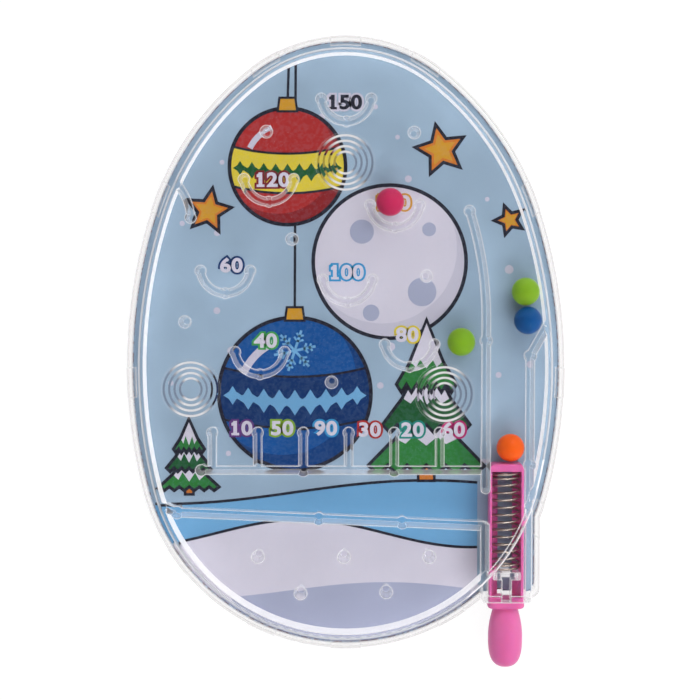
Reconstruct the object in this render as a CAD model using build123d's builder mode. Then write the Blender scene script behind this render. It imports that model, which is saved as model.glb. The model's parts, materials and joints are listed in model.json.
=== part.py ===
"""Egg-shaped pocket pinball game: clear case, printed card, moulded playfield, plunger and balls.

All lengths are millimetres. The case lies flat: +Z is up, +Y points to the crown of the egg, and
the origin is on the underside, at the egg's widest line.
"""

import os
from math import acos, cos, degrees, pi, radians, sin, sqrt

from build123d import *

os.makedirs("parts", exist_ok=True)

# Egg outline, four tangent arcs a side
CASE_HALF_WIDTH = 47.25
FLANK_RADIUS = 109.5
FOOT_NARROWING = 1.95
SHOULDER_RADIUS = 62.0
SHOULDER_START = 18.6
CROWN_RADIUS = 33.7

# Balls
BALL_RADIUS = 3.0
BALL_LIFT = 0.05
BALL_HEADROOM = 1.0

# Heights of the layers
FLOOR_THICKNESS = 1.2
CARD_THICKNESS = 0.4
COVER_THICKNESS = 1.2

# Rim, flange and wall, from the outside inwards
RIM_WIDTH = 1.0
RIM_HEIGHT = 1.4
CARD_CLEARANCE = 0.05
FLANGE_CLEARANCE = 0.15
FLANGE_THICKNESS = 1.0
WALL_INSET = 3.1
WALL_THICKNESS = 1.0
COVER_EDGE_RADIUS = 0.7
BASE_EDGE_RADIUS = 0.5

# Hooks on the tray's rim that hold the flange down
HOOK_LENGTH = 6.5
HOOK_REACH = 2.0
HOOK_HEIGHT = 0.7
HOOK_CLEARANCE = 0.05
HOOK_SIDE_CLEARANCE = 0.1
HOOK_ANGLES = (90, 75.3, 42.6, -3.8, -38, -67, -90, -108, -131, 183.8, 137.4, 104.7)

# Spring, its wire and its fixed stop
SPRING_OUTER_DIAMETER = 6.0
SPRING_LIFT = 3.1
WIRE_DIAMETER = 0.4
ACTIVE_TURNS = 11
END_TURNS = 1.5
END_PITCH = 0.87
ARCS_PER_TURN = 4
SAMPLES_PER_TURN = 48
SPRING_BEND = 0.5
SPRING_END_GAP = 0.03
STOP_RISE = 6.5
STOP_THICKNESS = 1.4
STOP_CLEARANCE = 0.3
STOP_WEB = 1.85
WEB_CLEARANCE = 0.3
WEB_DROP = 1.4

# Plunger, a channel round the spring with a teardrop grip
CHANNEL_CLEARANCE = 0.15
CHANNEL_SIDE = 0.55
CHANNEL_LENGTH = 27.25
SLOT_WIDTH = 3.2
PLUNGER_LIFT = 0.3
PLUNGER_HEIGHT = 5.5
PLUNGER_REACH = 29.75
TIP_BAR = 1.6
TIP_CORNER_RADIUS = 1.1
PLUNGER_EDGE_RADIUS = 0.25
COLLAR_OVERHANG = 0.25
COLLAR_HEIGHT = 7.4
COLLAR_THICKNESS = 1.3
COLLAR_GAP = 0.2
COLLAR_CORNER_RADIUS = 1.85
COLLAR_FILLET = 0.6
GRIP_NECK_RADIUS = 2.6
GRIP_RADIUS = 3.7
GRIP_LENGTH = 13.1
GRIP_WIDEST = 6.4
GRIP_NECK_SLOPE = (0.3, -1)

# Plunger bay at the lower right
PLUNGER_INSET = 12.7
BAY_CLEARANCE = 0.4
BAY_WALL = 1.3
BAY_MARGIN = 2.2
BAY_END_RISE = 11.0
BAY_LENGTH = 30.0
BAY_END_WALL = 1.4
BAY_CORNER_RADIUS = 2.0
BAY_END_RADIUS = 0.8
BAY_ROOF_THICKNESS = 0.6
BAY_ROOF_EDGE_RADIUS = 0.45
BAY_RIB_DEPTH = 0.35
LINTEL_DEPTH = 0.8
CARD_END_GAP = 1.75

# Ribs and posts under the cover, measured at their feet; they widen upwards by the mould's draft
RIB_CLEARANCE = 0.3
RIB_DRAFT = 4.0
RIB_THICKNESS = 0.85
THIN_RIB = 0.7
POST_RADIUS = 1.17
POST_FOOT_RADIUS = 0.72
BOSS_RADIUS = 1.3
BOSS_FOOT_RADIUS = 0.8
PIN_RADIUS = 1.3
SUPPORT_RADIUS = 1.4
SUPPORT_FOOT_RADIUS = 0.75

# Launch lane, its left wall beside the plunger and its right guard
LANE_WALL_OFFSET = 4.65
LANE_TIP_OFFSET = 3.6
LANE_TIP_Y = 33.8
LANE_STRAIGHT_TOP_Y = 11.0
LANE_END_RISE = 24.6
LANE_THICK_LENGTH = 9.5
LANE_THICK = 1.0
LANE_BOSS_Y = 6.3
GUARD_CORNER_Y = 3.05
GUARD_LEDGE_RISE = 7.0
GUARD_TOP_INSET = 4.05
GUARD_BOSS_RISE = 29.7
GUARD_END_RISE = 19.6

# Scoring rack, measured up from the bay's end
RACK_RISE = 28.6
RACK_LEFT_INSET = 16.45
FIRST_DIVIDER_GAP = 2.4
LAST_BIN_WIDTH = 9.8
BIN_COUNT = 5
DIVIDER_LENGTH = 8.05
RACK_BOSS_SHARES = (0.4, 0.8)
RACK_TRIM = 4.0

# Return channel wall under the rack
RETURN_LEFT_INSET = 11.25
RETURN_LEFT_RISE = 19.5
RETURN_RIGHT_RISE = 16.6
RETURN_ELBOW = (3.7, 1.4)
RETURN_BOSS_SHARES = (0.46, 0.732)

# Deflector rib at the upper left: distance in from the case's edge, and height
DEFLECTOR_TIP = (14.45, 32.4)
DEFLECTOR_BOW = (13.65, 36.2)
DEFLECTOR_ROOT = (11.55, 39.6)

# Cups that catch a ball
CUP_HALF_WIDTH = 5.27
CUP_DEPTH = 4.75
CUP_BOSS = (0.8, 1.3)
CUP_BOSS_CORNER = 0.3

# Places on the field: across from the centre line, the case's left edge or the lane's wall,
# and down from the crown, up from the widest line or up from the rack
CROWN_CUPS = {"cup_150": (0.2, 13.9), "cup_120": (-16.2, 30.8), "cup_110": (10.5, 36.25)}
CENTRE_CUPS = {"cup_100": (0.5, 19.25)}
LEFT_CUPS = {"cup_60": (21.8, 21.15)}
LEFT_RACK_CUPS = {"cup_40": (29.05, 25.3)}
LANE_RACK_CUPS = {"cup_80": (16.25, 26.9)}
CROWN_PINS = ((-16.7, 20.8), (14.55, 21.0))
CENTRE_PIN = (-11.3, 27.85)
LEFT_PIN = (13.15, 10.3)
LANE_PIN = (12.7, 20.0)
RACK_PIN = (-2.95, 18.85)
SUPPORT_POSTS = ((-18.7, 10.0), (-0.3, 10.0), (17.95, 10.0), (-9.6, 2.1), (8.75, 2.4))

# Ringed discs sunk in steps into the cover
CROWN_DISC_DROP = 27.3
LEFT_DISC = (14.35, 17.4)
LANE_DISC = (8.8, 16.4)
DISC_RADII = (5.95, 4.8, 3.67, 2.53)
DISC_STEP = 0.2
DISC_SLOPE = 0.45
DISC_PAD = 0.4
DISC_PAD_MARGIN = 0.4

# Balls at rest, each against what it lies on
PINK_IN_CUP = (-0.95, 0.75)
GREEN_FROM_LANE = 5.05
GREEN_OVER_CUP = 0.35
ORANGE_SHIFT = 0.95
ORANGE_GAP = 0.3
BLUE_ALONG_LEDGE = 6.43
BLUE_LEDGE_GAP = 0.773
LIME_BALL_GAP = 0.15
LIME_WALL_GAP = 0.23

# Centres of the egg's arcs and the angles at which one arc hands over to the next
foot_radius = CASE_HALF_WIDTH - FOOT_NARROWING
flank_centre = Vector(CASE_HALF_WIDTH - FLANK_RADIUS, 0)
foot_angle = degrees(acos(-flank_centre.X / (FLANK_RADIUS - foot_radius)))
foot_centre = Vector(0, -(FLANK_RADIUS - foot_radius) * sin(radians(foot_angle)))
shoulder_centre = flank_centre + (FLANK_RADIUS - SHOULDER_RADIUS) * Vector(
    cos(radians(SHOULDER_START)), sin(radians(SHOULDER_START))
)
crown_angle = degrees(acos(-shoulder_centre.X / (SHOULDER_RADIUS - CROWN_RADIUS)))
crown_centre = Vector(
    0, shoulder_centre.Y + (SHOULDER_RADIUS - CROWN_RADIUS) * sin(radians(crown_angle))
)
crown_y = crown_centre.Y + CROWN_RADIUS

# Heights
field_height = 2 * BALL_RADIUS + BALL_HEADROOM
card_top = FLOOR_THICKNESS + CARD_THICKNESS
cover_underside = card_top + field_height
cover_top_z = cover_underside + COVER_THICKNESS
rim_top = FLOOR_THICKNESS + RIM_HEIGHT
rib_foot = card_top + RIB_CLEARANCE
rib_height = cover_underside - rib_foot
plunger_foot = card_top + PLUNGER_LIFT
spring_axis_z = plunger_foot + SPRING_LIFT
web_bottom_z = spring_axis_z - WEB_DROP

# Bay and plunger
channel_radius = SPRING_OUTER_DIAMETER / 2 + CHANNEL_CLEARANCE
plunger_width = 2 * (channel_radius + CHANNEL_SIDE)
bay_half_width = plunger_width / 2 + BAY_CLEARANCE
plunger_x = CASE_HALF_WIDTH - PLUNGER_INSET
bay_left = plunger_x - bay_half_width
bay_right = plunger_x + bay_half_width
bay_rim_edge = bay_right + BAY_WALL + BAY_MARGIN
bay_end_y = foot_centre.Y - foot_radius + BAY_END_RISE
bay_top_y = bay_end_y + BAY_LENGTH
bay_middle_y = (bay_top_y + bay_end_y) / 2
card_end_y = bay_end_y + CARD_END_GAP

# Lane, rack and the places on the field
lane_wall_x = plunger_x - LANE_WALL_OFFSET
lane_end_y = bay_end_y + LANE_END_RISE
lane_tip = (lane_wall_x - LANE_TIP_OFFSET, LANE_TIP_Y)
rack_y = bay_end_y + RACK_RISE
cup_centres = {}
for name, (x, drop) in CROWN_CUPS.items():
    cup_centres[name] = (x, crown_y - drop)
for name, centre in CENTRE_CUPS.items():
    cup_centres[name] = centre
for name, (inset, y) in LEFT_CUPS.items():
    cup_centres[name] = (inset - CASE_HALF_WIDTH, y)
for name, (inset, rise) in LEFT_RACK_CUPS.items():
    cup_centres[name] = (inset - CASE_HALF_WIDTH, rack_y + rise)
for name, (offset, rise) in LANE_RACK_CUPS.items():
    cup_centres[name] = (lane_wall_x - offset, rack_y + rise)
pin_points = [(x, crown_y - drop) for x, drop in CROWN_PINS]
pin_points.append(CENTRE_PIN)
pin_points.append((LEFT_PIN[0] - CASE_HALF_WIDTH, LEFT_PIN[1]))
pin_points.append((lane_wall_x - LANE_PIN[0], LANE_PIN[1]))
pin_points.append((RACK_PIN[0], rack_y + RACK_PIN[1]))
support_points = [(x, bay_end_y + rise) for x, rise in SUPPORT_POSTS]
disc_centres = [
    (0, crown_y - CROWN_DISC_DROP),
    (LEFT_DISC[0] - CASE_HALF_WIDTH, rack_y + LEFT_DISC[1]),
    (lane_wall_x - LANE_DISC[0], rack_y + LANE_DISC[1]),
]


def egg(inset):
    """Face of the egg, set in by a margin all round."""
    with BuildSketch(mode=Mode.PRIVATE) as face:
        with BuildLine():
            CenterArc(foot_centre, foot_radius - inset, -90, 90 - foot_angle)
            CenterArc(flank_centre, FLANK_RADIUS - inset, -foot_angle, foot_angle + SHOULDER_START)
            CenterArc(
                shoulder_centre,
                SHOULDER_RADIUS - inset,
                SHOULDER_START,
                crown_angle - SHOULDER_START,
            )
            CenterArc(crown_centre, CROWN_RADIUS - inset, crown_angle, 90 - crown_angle)
            mirror(about=Plane.YZ)
        make_face()
    return face.sketch


def case_face(inset, end_y):
    """Face of the whole case, egg and plunger bay, set in by a margin."""
    left_x = bay_left - BAY_WALL
    right_x = bay_rim_edge - inset
    with BuildSketch(mode=Mode.PRIVATE) as bay:
        with Locations(((left_x + right_x) / 2, (bay_top_y + end_y) / 2)):
            Rectangle(right_x - left_x, bay_top_y - end_y)
        corner = bay.vertices().sort_by(Axis.Y)[:2].sort_by(Axis.X)[-1]
        fillet(corner, BAY_CORNER_RADIUS)
    with BuildSketch(mode=Mode.PRIVATE) as face:
        add(egg(inset))
        add(bay.sketch)
    return face.sketch


def bay_face(half_width, end_y):
    """Straight face over the plunger, rounded at its end."""
    with BuildSketch(mode=Mode.PRIVATE) as face:
        with Locations((plunger_x, (bay_top_y + end_y) / 2)):
            bay = Rectangle(2 * half_width, bay_top_y - end_y)
        fillet(bay.vertices().sort_by(Axis.Y)[:2], BAY_END_RADIUS)
    return face.sketch


def dome_face(inset, half_width, end_y):
    """Face of the raised cover: the egg with the straight plunger bay joined to it."""
    with BuildSketch(mode=Mode.PRIVATE) as face:
        add(egg(inset))
        add(bay_face(half_width, end_y))
    return face.sketch


dome_outer = dome_face(WALL_INSET, bay_half_width + BAY_WALL, bay_end_y)
dome_inner = dome_face(WALL_INSET + WALL_THICKNESS, bay_half_width, bay_end_y + BAY_END_WALL)


def export(piece, name):
    """Label a finished piece and write it under that name."""
    piece.label = name
    export_step(piece, f"parts/{name}.step")


def hook_face(reach):
    """Short stretches of a band along the case's edge, one at each hook."""
    with BuildSketch(mode=Mode.PRIVATE) as face:
        for angle in HOOK_ANGLES:
            ray = Vector(1, 0).rotate(Axis.Z, angle) * CASE_HALF_WIDTH
            with Locations(Location((ray.X, ray.Y, 0), (0, 0, angle))):
                Rectangle(2 * CASE_HALF_WIDTH, HOOK_LENGTH)
        add(case_face(0, bay_end_y), mode=Mode.INTERSECT)
        add(case_face(reach, bay_end_y + reach), mode=Mode.SUBTRACT)
        clear_half_width = bay_half_width + BAY_WALL + HOOK_SIDE_CLEARANCE
        add(dome_face(WALL_INSET, clear_half_width, bay_end_y), mode=Mode.SUBTRACT)
    return face.sketch


def tapered_posts(points, root_radius, foot_radius, foot_z):
    """Round posts that hang from the cover and narrow towards the card."""
    height = cover_underside - foot_z
    with Locations(*[(x, y, foot_z + height / 2) for x, y in points]):
        Cone(foot_radius, root_radius, height)


def raise_rib():
    """Grow the drawn foot of a rib up to the cover, with the mould's draft on its sides."""
    extrude(amount=rib_height, taper=-RIB_DRAFT)


def keep_inside_wall():
    """Cut a rib off where it meets the cover's side wall."""
    field = egg(WALL_INSET + WALL_THICKNESS).moved(Location((0, 0, rib_foot)))
    extrude(field, amount=rib_height, mode=Mode.INTERSECT)


# Base tray: floor, rim round the card and hooks over the cover's flange
with BuildPart() as base_tray:
    with BuildSketch():
        add(case_face(0, bay_end_y))
    extrude(amount=FLOOR_THICKNESS)
    underside = base_tray.faces().sort_by(Axis.Z)[0]
    fillet(underside.edges(), BASE_EDGE_RADIUS)
    with BuildSketch(Plane.XY.offset(FLOOR_THICKNESS)):
        add(case_face(0, bay_end_y))
        add(case_face(RIM_WIDTH, bay_end_y + RIM_WIDTH), mode=Mode.SUBTRACT)
        with Locations((plunger_x, bay_end_y)):
            Rectangle(
                2 * (bay_half_width + BAY_WALL),
                2 * CARD_END_GAP,
                mode=Mode.SUBTRACT,
            )
    extrude(amount=RIM_HEIGHT)
    with BuildSketch(Plane.XY.offset(rim_top)):
        add(hook_face(RIM_WIDTH))
    extrude(amount=HOOK_CLEARANCE)
    with BuildSketch(Plane.XY.offset(rim_top + HOOK_CLEARANCE)):
        add(hook_face(HOOK_REACH))
    extrude(amount=HOOK_HEIGHT)
export(base_tray.part, "base_tray")

# Printed card laid in the tray
with BuildPart() as printed_card:
    with BuildSketch(Plane.XY.offset(FLOOR_THICKNESS)):
        add(case_face(RIM_WIDTH + CARD_CLEARANCE, card_end_y))
    extrude(amount=CARD_THICKNESS)
export(printed_card.part, "printed_card")

# Roof over the plunger bay, lower than the egg-shaped top
with BuildPart() as bay_roof:
    with BuildSketch(Plane.XY.offset(cover_underside)):
        add(bay_face(bay_half_width + BAY_WALL, bay_end_y))
    extrude(amount=BAY_ROOF_THICKNESS)
    roof_face = bay_roof.faces().sort_by(Axis.Z)[-1]
    fillet(roof_face.edges(), BAY_ROOF_EDGE_RADIUS)

# Top of the clear cover, with a ringed disc sunk in sloped steps at three places
with BuildPart() as cover_top:
    with BuildSketch(Plane.XY.offset(cover_underside)):
        add(egg(WALL_INSET))
    extrude(amount=COVER_THICKNESS)
    top_face = cover_top.faces().sort_by(Axis.Z)[-1]
    fillet(top_face.edges(), COVER_EDGE_RADIUS)
    add(bay_roof.part)
    with BuildSketch(Plane.XY.offset(cover_underside)):
        with Locations(*disc_centres):
            Circle(DISC_RADII[0] + DISC_PAD_MARGIN)
    extrude(amount=-DISC_PAD)
    for step, radius in enumerate(DISC_RADII):
        step_z = cover_top_z - (step + 1) * DISC_STEP
        with Locations(*[(x, y, step_z) for x, y in disc_centres]):
            Cone(
                radius - DISC_SLOPE,
                radius,
                DISC_STEP,
                align=(Align.CENTER, Align.CENTER, Align.MIN),
                mode=Mode.SUBTRACT,
            )
export(cover_top.part, "cover_top")

# Side wall of the cover with the flange at its foot, the bay's end wall and the rib over the bay
with BuildPart() as cover_wall:
    with BuildSketch(Plane.XY.offset(card_top)):
        add(dome_outer)
        add(dome_inner, mode=Mode.SUBTRACT)
    extrude(amount=field_height)
    with BuildSketch(Plane.XY.offset(card_top)):
        add(
            case_face(
                RIM_WIDTH + FLANGE_CLEARANCE, bay_end_y + RIM_WIDTH + FLANGE_CLEARANCE
            )
        )
        add(dome_outer, mode=Mode.SUBTRACT)
    extrude(amount=FLANGE_THICKNESS)
    with BuildSketch(Plane.XY.offset(cover_underside - BAY_RIB_DEPTH)):
        add(egg(WALL_INSET))
        add(egg(WALL_INSET + WALL_THICKNESS), mode=Mode.SUBTRACT)
        with Locations((plunger_x, bay_middle_y)):
            Rectangle(2 * bay_half_width, BAY_LENGTH, mode=Mode.INTERSECT)
    extrude(amount=BAY_RIB_DEPTH)
    opening_top = cover_underside - LINTEL_DEPTH
    with Locations((plunger_x, bay_end_y, opening_top)):
        Box(
            2 * bay_half_width,
            4 * BAY_END_WALL,
            2 * field_height,
            align=(Align.CENTER, Align.CENTER, Align.MAX),
            mode=Mode.SUBTRACT,
        )
export(cover_wall.part, "cover_wall")

# Left wall of the launch lane, curved at its top and thicker beside the plunger
with BuildPart() as launch_lane_wall:
    with BuildSketch(Plane.XY.offset(rib_foot)):
        with BuildLine():
            straight = Line((lane_wall_x, lane_end_y), (lane_wall_x, LANE_STRAIGHT_TOP_Y))
            TangentArc(straight @ 1, lane_tip, tangent=straight % 1)
        trace(line_width=RIB_THICKNESS)
    raise_rib()
    with BuildSketch(Plane.XY.offset(rib_foot)):
        with Locations((lane_wall_x, lane_end_y + LANE_THICK_LENGTH / 2)):
            SlotCenterToCenter(LANE_THICK_LENGTH, LANE_THICK, rotation=90)
    raise_rib()
    tapered_posts([(lane_wall_x, LANE_BOSS_Y)], BOSS_RADIUS, BOSS_FOOT_RADIUS, rib_foot)
    tapered_posts([lane_tip], POST_RADIUS, POST_FOOT_RADIUS, rib_foot)
export(launch_lane_wall.part, "launch_lane_wall")

# Right guard of the lane: a slanted ledge from the side wall and a straight run to the bay
guard_x = bay_right + BAY_WALL / 2
guard_corner = (guard_x, GUARD_CORNER_Y)
guard_top = (CASE_HALF_WIDTH - GUARD_TOP_INSET, GUARD_CORNER_Y + GUARD_LEDGE_RISE)
with BuildPart() as lane_guard:
    with BuildSketch(Plane.XY.offset(rib_foot)):
        with BuildLine():
            Polyline(guard_top, guard_corner, (guard_x, bay_end_y + GUARD_END_RISE))
        trace(line_width=RIB_THICKNESS)
    raise_rib()
    bosses = [guard_corner, (guard_x, bay_end_y + GUARD_BOSS_RISE)]
    tapered_posts(bosses, BOSS_RADIUS, BOSS_FOOT_RADIUS, rib_foot)
    keep_inside_wall()
export(lane_guard.part, "lane_guard")

# Scoring rack: a cross wall with dividers that make the bins, its end against the lane's wall
rack_left_x = RACK_LEFT_INSET - CASE_HALF_WIDTH
first_divider_x = rack_left_x + FIRST_DIVIDER_GAP
bin_pitch = (lane_wall_x - LAST_BIN_WIDTH - first_divider_x) / BIN_COUNT
dividers_x = [first_divider_x + bin_pitch * count for count in range(BIN_COUNT + 1)]
divider_top_y = rack_y + DIVIDER_LENGTH
with BuildPart() as scoring_rack:
    with BuildSketch(Plane.XY.offset(rib_foot)):
        with BuildLine():
            Line((rack_left_x, rack_y), (lane_wall_x, rack_y))
        trace(line_width=THIN_RIB)
    raise_rib()
    for divider_x in dividers_x:
        with BuildSketch(Plane.XY.offset(rib_foot)):
            with BuildLine():
                Line((divider_x, rack_y), (divider_x, divider_top_y))
            trace(line_width=RIB_THICKNESS)
        raise_rib()
    ends = [(x, divider_top_y) for x in dividers_x] + [(rack_left_x, rack_y)]
    tapered_posts(ends, POST_RADIUS, POST_FOOT_RADIUS, rib_foot)
    rack_length = dividers_x[-1] - first_divider_x
    bosses = [(first_divider_x + rack_length * share, rack_y) for share in RACK_BOSS_SHARES]
    tapered_posts(bosses, BOSS_RADIUS, BOSS_FOOT_RADIUS, rib_foot)
    with BuildSketch(Plane.XY.offset(rib_foot)):
        with Locations((lane_wall_x, rack_y)):
            Rectangle(RACK_TRIM, RACK_TRIM, align=(Align.MIN, Align.CENTER))
    extrude(amount=rib_height, mode=Mode.SUBTRACT)
    add(launch_lane_wall.part, mode=Mode.SUBTRACT)
export(scoring_rack.part, "scoring_rack")

# Wall of the return channel, from the side wall to the bay
channel_x = bay_left - BAY_WALL / 2
return_left = Vector(RETURN_LEFT_INSET - CASE_HALF_WIDTH, bay_end_y + RETURN_LEFT_RISE)
return_right = Vector(channel_x, bay_end_y + RETURN_RIGHT_RISE)
return_start = return_left + Vector(-RETURN_ELBOW[0], RETURN_ELBOW[1])
with BuildPart() as return_wall:
    with BuildSketch(Plane.XY.offset(rib_foot)):
        with BuildLine():
            Polyline(return_start, return_left, return_right)
        trace(line_width=RIB_THICKNESS)
    raise_rib()
    with BuildSketch(Plane.XY.offset(rib_foot)):
        with BuildLine():
            Line(return_right, (channel_x, bay_end_y))
        trace(line_width=RIB_THICKNESS)
    raise_rib()
    bosses = [(return_left.X, return_left.Y)]
    for share in RETURN_BOSS_SHARES:
        boss = return_left + (return_right - return_left) * share
        bosses.append((boss.X, boss.Y))
    tapered_posts(bosses, BOSS_RADIUS, BOSS_FOOT_RADIUS, rib_foot)
    keep_inside_wall()
export(return_wall.part, "return_wall")

# Deflector rib at the upper left
deflector_root, deflector_bow, deflector_tip = [
    (inset - CASE_HALF_WIDTH, y) for inset, y in (DEFLECTOR_ROOT, DEFLECTOR_BOW, DEFLECTOR_TIP)
]
with BuildPart() as deflector:
    with BuildSketch(Plane.XY.offset(rib_foot)):
        with BuildLine():
            ThreePointArc(deflector_root, deflector_bow, deflector_tip)
        trace(line_width=THIN_RIB)
    raise_rib()
    keep_inside_wall()
    tapered_posts([deflector_tip], POST_RADIUS, POST_FOOT_RADIUS, rib_foot)
export(deflector.part, "deflector")


def make_cup(centre):
    """A cup open towards the crown, with posts at its lips and a boss at its bottom."""
    x, y = centre
    lips = [(x - CUP_HALF_WIDTH, y), (x + CUP_HALF_WIDTH, y)]
    with BuildPart() as cup:
        with BuildSketch(Plane.XY.offset(rib_foot)):
            with BuildLine():
                ThreePointArc(lips[0], (x, y - CUP_DEPTH), lips[1])
            trace(line_width=RIB_THICKNESS)
        raise_rib()
        with BuildSketch(Plane.XY.offset(rib_foot)):
            with Locations((x, y - CUP_DEPTH)):
                RectangleRounded(*CUP_BOSS, CUP_BOSS_CORNER)
        raise_rib()
        tapered_posts(lips, POST_RADIUS, POST_FOOT_RADIUS, rib_foot)
    return cup.part


for cup_name, cup_centre in cup_centres.items():
    export(make_cup(cup_centre), cup_name)

# Single pins over the field
with BuildPart() as field_pins:
    tapered_posts(pin_points, PIN_RADIUS, POST_FOOT_RADIUS, rib_foot)
export(field_pins.part, "field_pins")

# Posts that stand on the card and hold the cover off it
with BuildPart() as support_posts:
    tapered_posts(support_points, SUPPORT_RADIUS, SUPPORT_FOOT_RADIUS, card_top)
export(support_posts.part, "support_posts")

# Fixed stop of the spring: a cross wall in the plunger's channel, its foot in the slot, and a web
stop_face_y = bay_end_y + STOP_RISE
with BuildPart() as spring_stop:
    with BuildSketch(Plane.XZ.offset(-stop_face_y)):
        with Locations((plunger_x, spring_axis_z)):
            Circle(channel_radius - STOP_CLEARANCE)
            Rectangle(
                2 * (channel_radius - STOP_CLEARANCE),
                cover_underside - spring_axis_z,
                align=(Align.CENTER, Align.MIN),
            )
            Rectangle(STOP_WEB, spring_axis_z - card_top, align=(Align.CENTER, Align.MAX))
    extrude(amount=STOP_THICKNESS)
    web_length = STOP_RISE - STOP_THICKNESS
    with Locations((plunger_x, bay_end_y + web_length / 2, cover_underside)):
        Box(
            STOP_WEB,
            web_length,
            cover_underside - web_bottom_z,
            align=(Align.CENTER, Align.CENTER, Align.MAX),
        )
    lintel_y = bay_end_y + BAY_END_WALL / 2
    with Locations((plunger_x, lintel_y, cover_underside)):
        Box(
            STOP_WEB,
            BAY_END_WALL,
            LINTEL_DEPTH,
            align=(Align.CENTER, Align.CENTER, Align.MAX),
            mode=Mode.SUBTRACT,
        )
export(spring_stop.part, "spring_stop")

# Plunger: channel for the spring, slotted floor, collar outside the case and a teardrop grip
tip_y = bay_end_y + PLUNGER_REACH
collar_face_y = bay_end_y - COLLAR_GAP
frame_length = tip_y - collar_face_y
channel_top_y = tip_y - TIP_BAR
channel_end_y = channel_top_y - CHANNEL_LENGTH
grip_axis_z = plunger_foot + PLUNGER_HEIGHT / 2
grip_start_y = collar_face_y - COLLAR_THICKNESS
with BuildPart() as plunger:
    with BuildSketch(Plane.XY.offset(plunger_foot)):
        with Locations((plunger_x, tip_y)):
            frame = Rectangle(plunger_width, frame_length, align=(Align.CENTER, Align.MAX))
        fillet(frame.vertices().sort_by(Axis.Y)[-2:], TIP_CORNER_RADIUS)
    extrude(amount=PLUNGER_HEIGHT)
    tip_edge = plunger.faces().sort_by(Axis.Z)[-1].edges().sort_by(Axis.Y)[-1]
    fillet(tip_edge, PLUNGER_EDGE_RADIUS)
    with BuildSketch(Plane.XZ.offset(-channel_top_y)):
        with Locations((plunger_x, spring_axis_z)):
            Circle(channel_radius)
            Rectangle(
                2 * channel_radius,
                PLUNGER_HEIGHT,
                align=(Align.CENTER, Align.MIN),
            )
            Rectangle(SLOT_WIDTH, PLUNGER_HEIGHT, align=(Align.CENTER, Align.MAX))
    extrude(amount=CHANNEL_LENGTH, mode=Mode.SUBTRACT)
    with Locations((plunger_x, collar_face_y, web_bottom_z - WEB_CLEARANCE)):
        Box(
            STOP_WEB + 2 * WEB_CLEARANCE,
            channel_end_y - collar_face_y,
            PLUNGER_HEIGHT,
            align=(Align.CENTER, Align.MIN, Align.MIN),
            mode=Mode.SUBTRACT,
        )
    with BuildSketch(Plane.XZ.offset(-collar_face_y)):
        with Locations((plunger_x, grip_axis_z)):
            RectangleRounded(plunger_width + 2 * COLLAR_OVERHANG, COLLAR_HEIGHT, COLLAR_CORNER_RADIUS)
    collar = extrude(amount=COLLAR_THICKNESS)
    fillet(collar.faces().sort_by(Axis.Y)[0].edges(), COLLAR_FILLET)
    with BuildSketch(Plane.XY.offset(grip_axis_z)):
        with BuildLine():
            neck = (plunger_x + GRIP_NECK_RADIUS, grip_start_y)
            widest = (plunger_x + GRIP_RADIUS, grip_start_y - GRIP_WIDEST)
            end = (plunger_x, grip_start_y - GRIP_LENGTH)
            Spline(neck, widest, tangents=(GRIP_NECK_SLOPE, (0, -1)))
            Spline(widest, end, tangents=((0, -1), (-1, 0)))
            Line(end, (plunger_x, grip_start_y))
            Line((plunger_x, grip_start_y), neck)
        make_face()
    revolve(axis=Axis((plunger_x, 0, grip_axis_z), (0, 1, 0)))
export(plunger.part, "plunger")

# Spring: one wire, wound closer at both ends, each end turned square to its seat
coil_radius = (SPRING_OUTER_DIAMETER - WIRE_DIAMETER) / 2
spring_top_y = channel_top_y - SPRING_END_GAP
spring_length = spring_top_y - stop_face_y - SPRING_END_GAP
end_height = WIRE_DIAMETER + SPRING_BEND
coiled_length = spring_length - 2 * end_height
active_pitch = (coiled_length - 2 * END_TURNS * END_PITCH) / ACTIVE_TURNS


def coil_drop(turns):
    """How far the coil has run down its axis after a number of turns."""
    first = min(turns, END_TURNS)
    middle = min(max(turns - END_TURNS, 0), ACTIVE_TURNS)
    last = max(turns - END_TURNS - ACTIVE_TURNS, 0)
    return (first + last) * END_PITCH + middle * active_pitch


def coil_point(turns):
    """Point on the coil's centre line after a number of turns."""
    angle = 2 * pi * turns
    return Vector(
        plunger_x + coil_radius * cos(angle),
        spring_top_y - end_height - coil_drop(turns),
        spring_axis_z + coil_radius * sin(angle),
    )


def coil_tangent(turns):
    """Direction of the coil's centre line after a number of turns."""
    angle = 2 * pi * turns
    pitch = active_pitch if END_TURNS < turns < END_TURNS + ACTIVE_TURNS else END_PITCH
    run = 2 * pi * coil_radius
    return Vector(-run * sin(angle), -pitch, run * cos(angle)).normalized()


def biarc(start, start_tangent, end, end_tangent):
    """Two tangent arcs from one point and direction to the next."""
    chord = end - start
    both = start_tangent + end_tangent
    a = 2 * (start_tangent.dot(end_tangent) - 1)
    b = -2 * chord.dot(both)
    c = chord.dot(chord)
    reach = (-b - sqrt(b * b - 4 * a * c)) / (2 * a)
    joint = (start + start_tangent * reach + end - end_tangent * reach) * 0.5
    first = TangentArc(start, joint, tangent=start_tangent)
    TangentArc(joint, end, tangent=first % 1)


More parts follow.
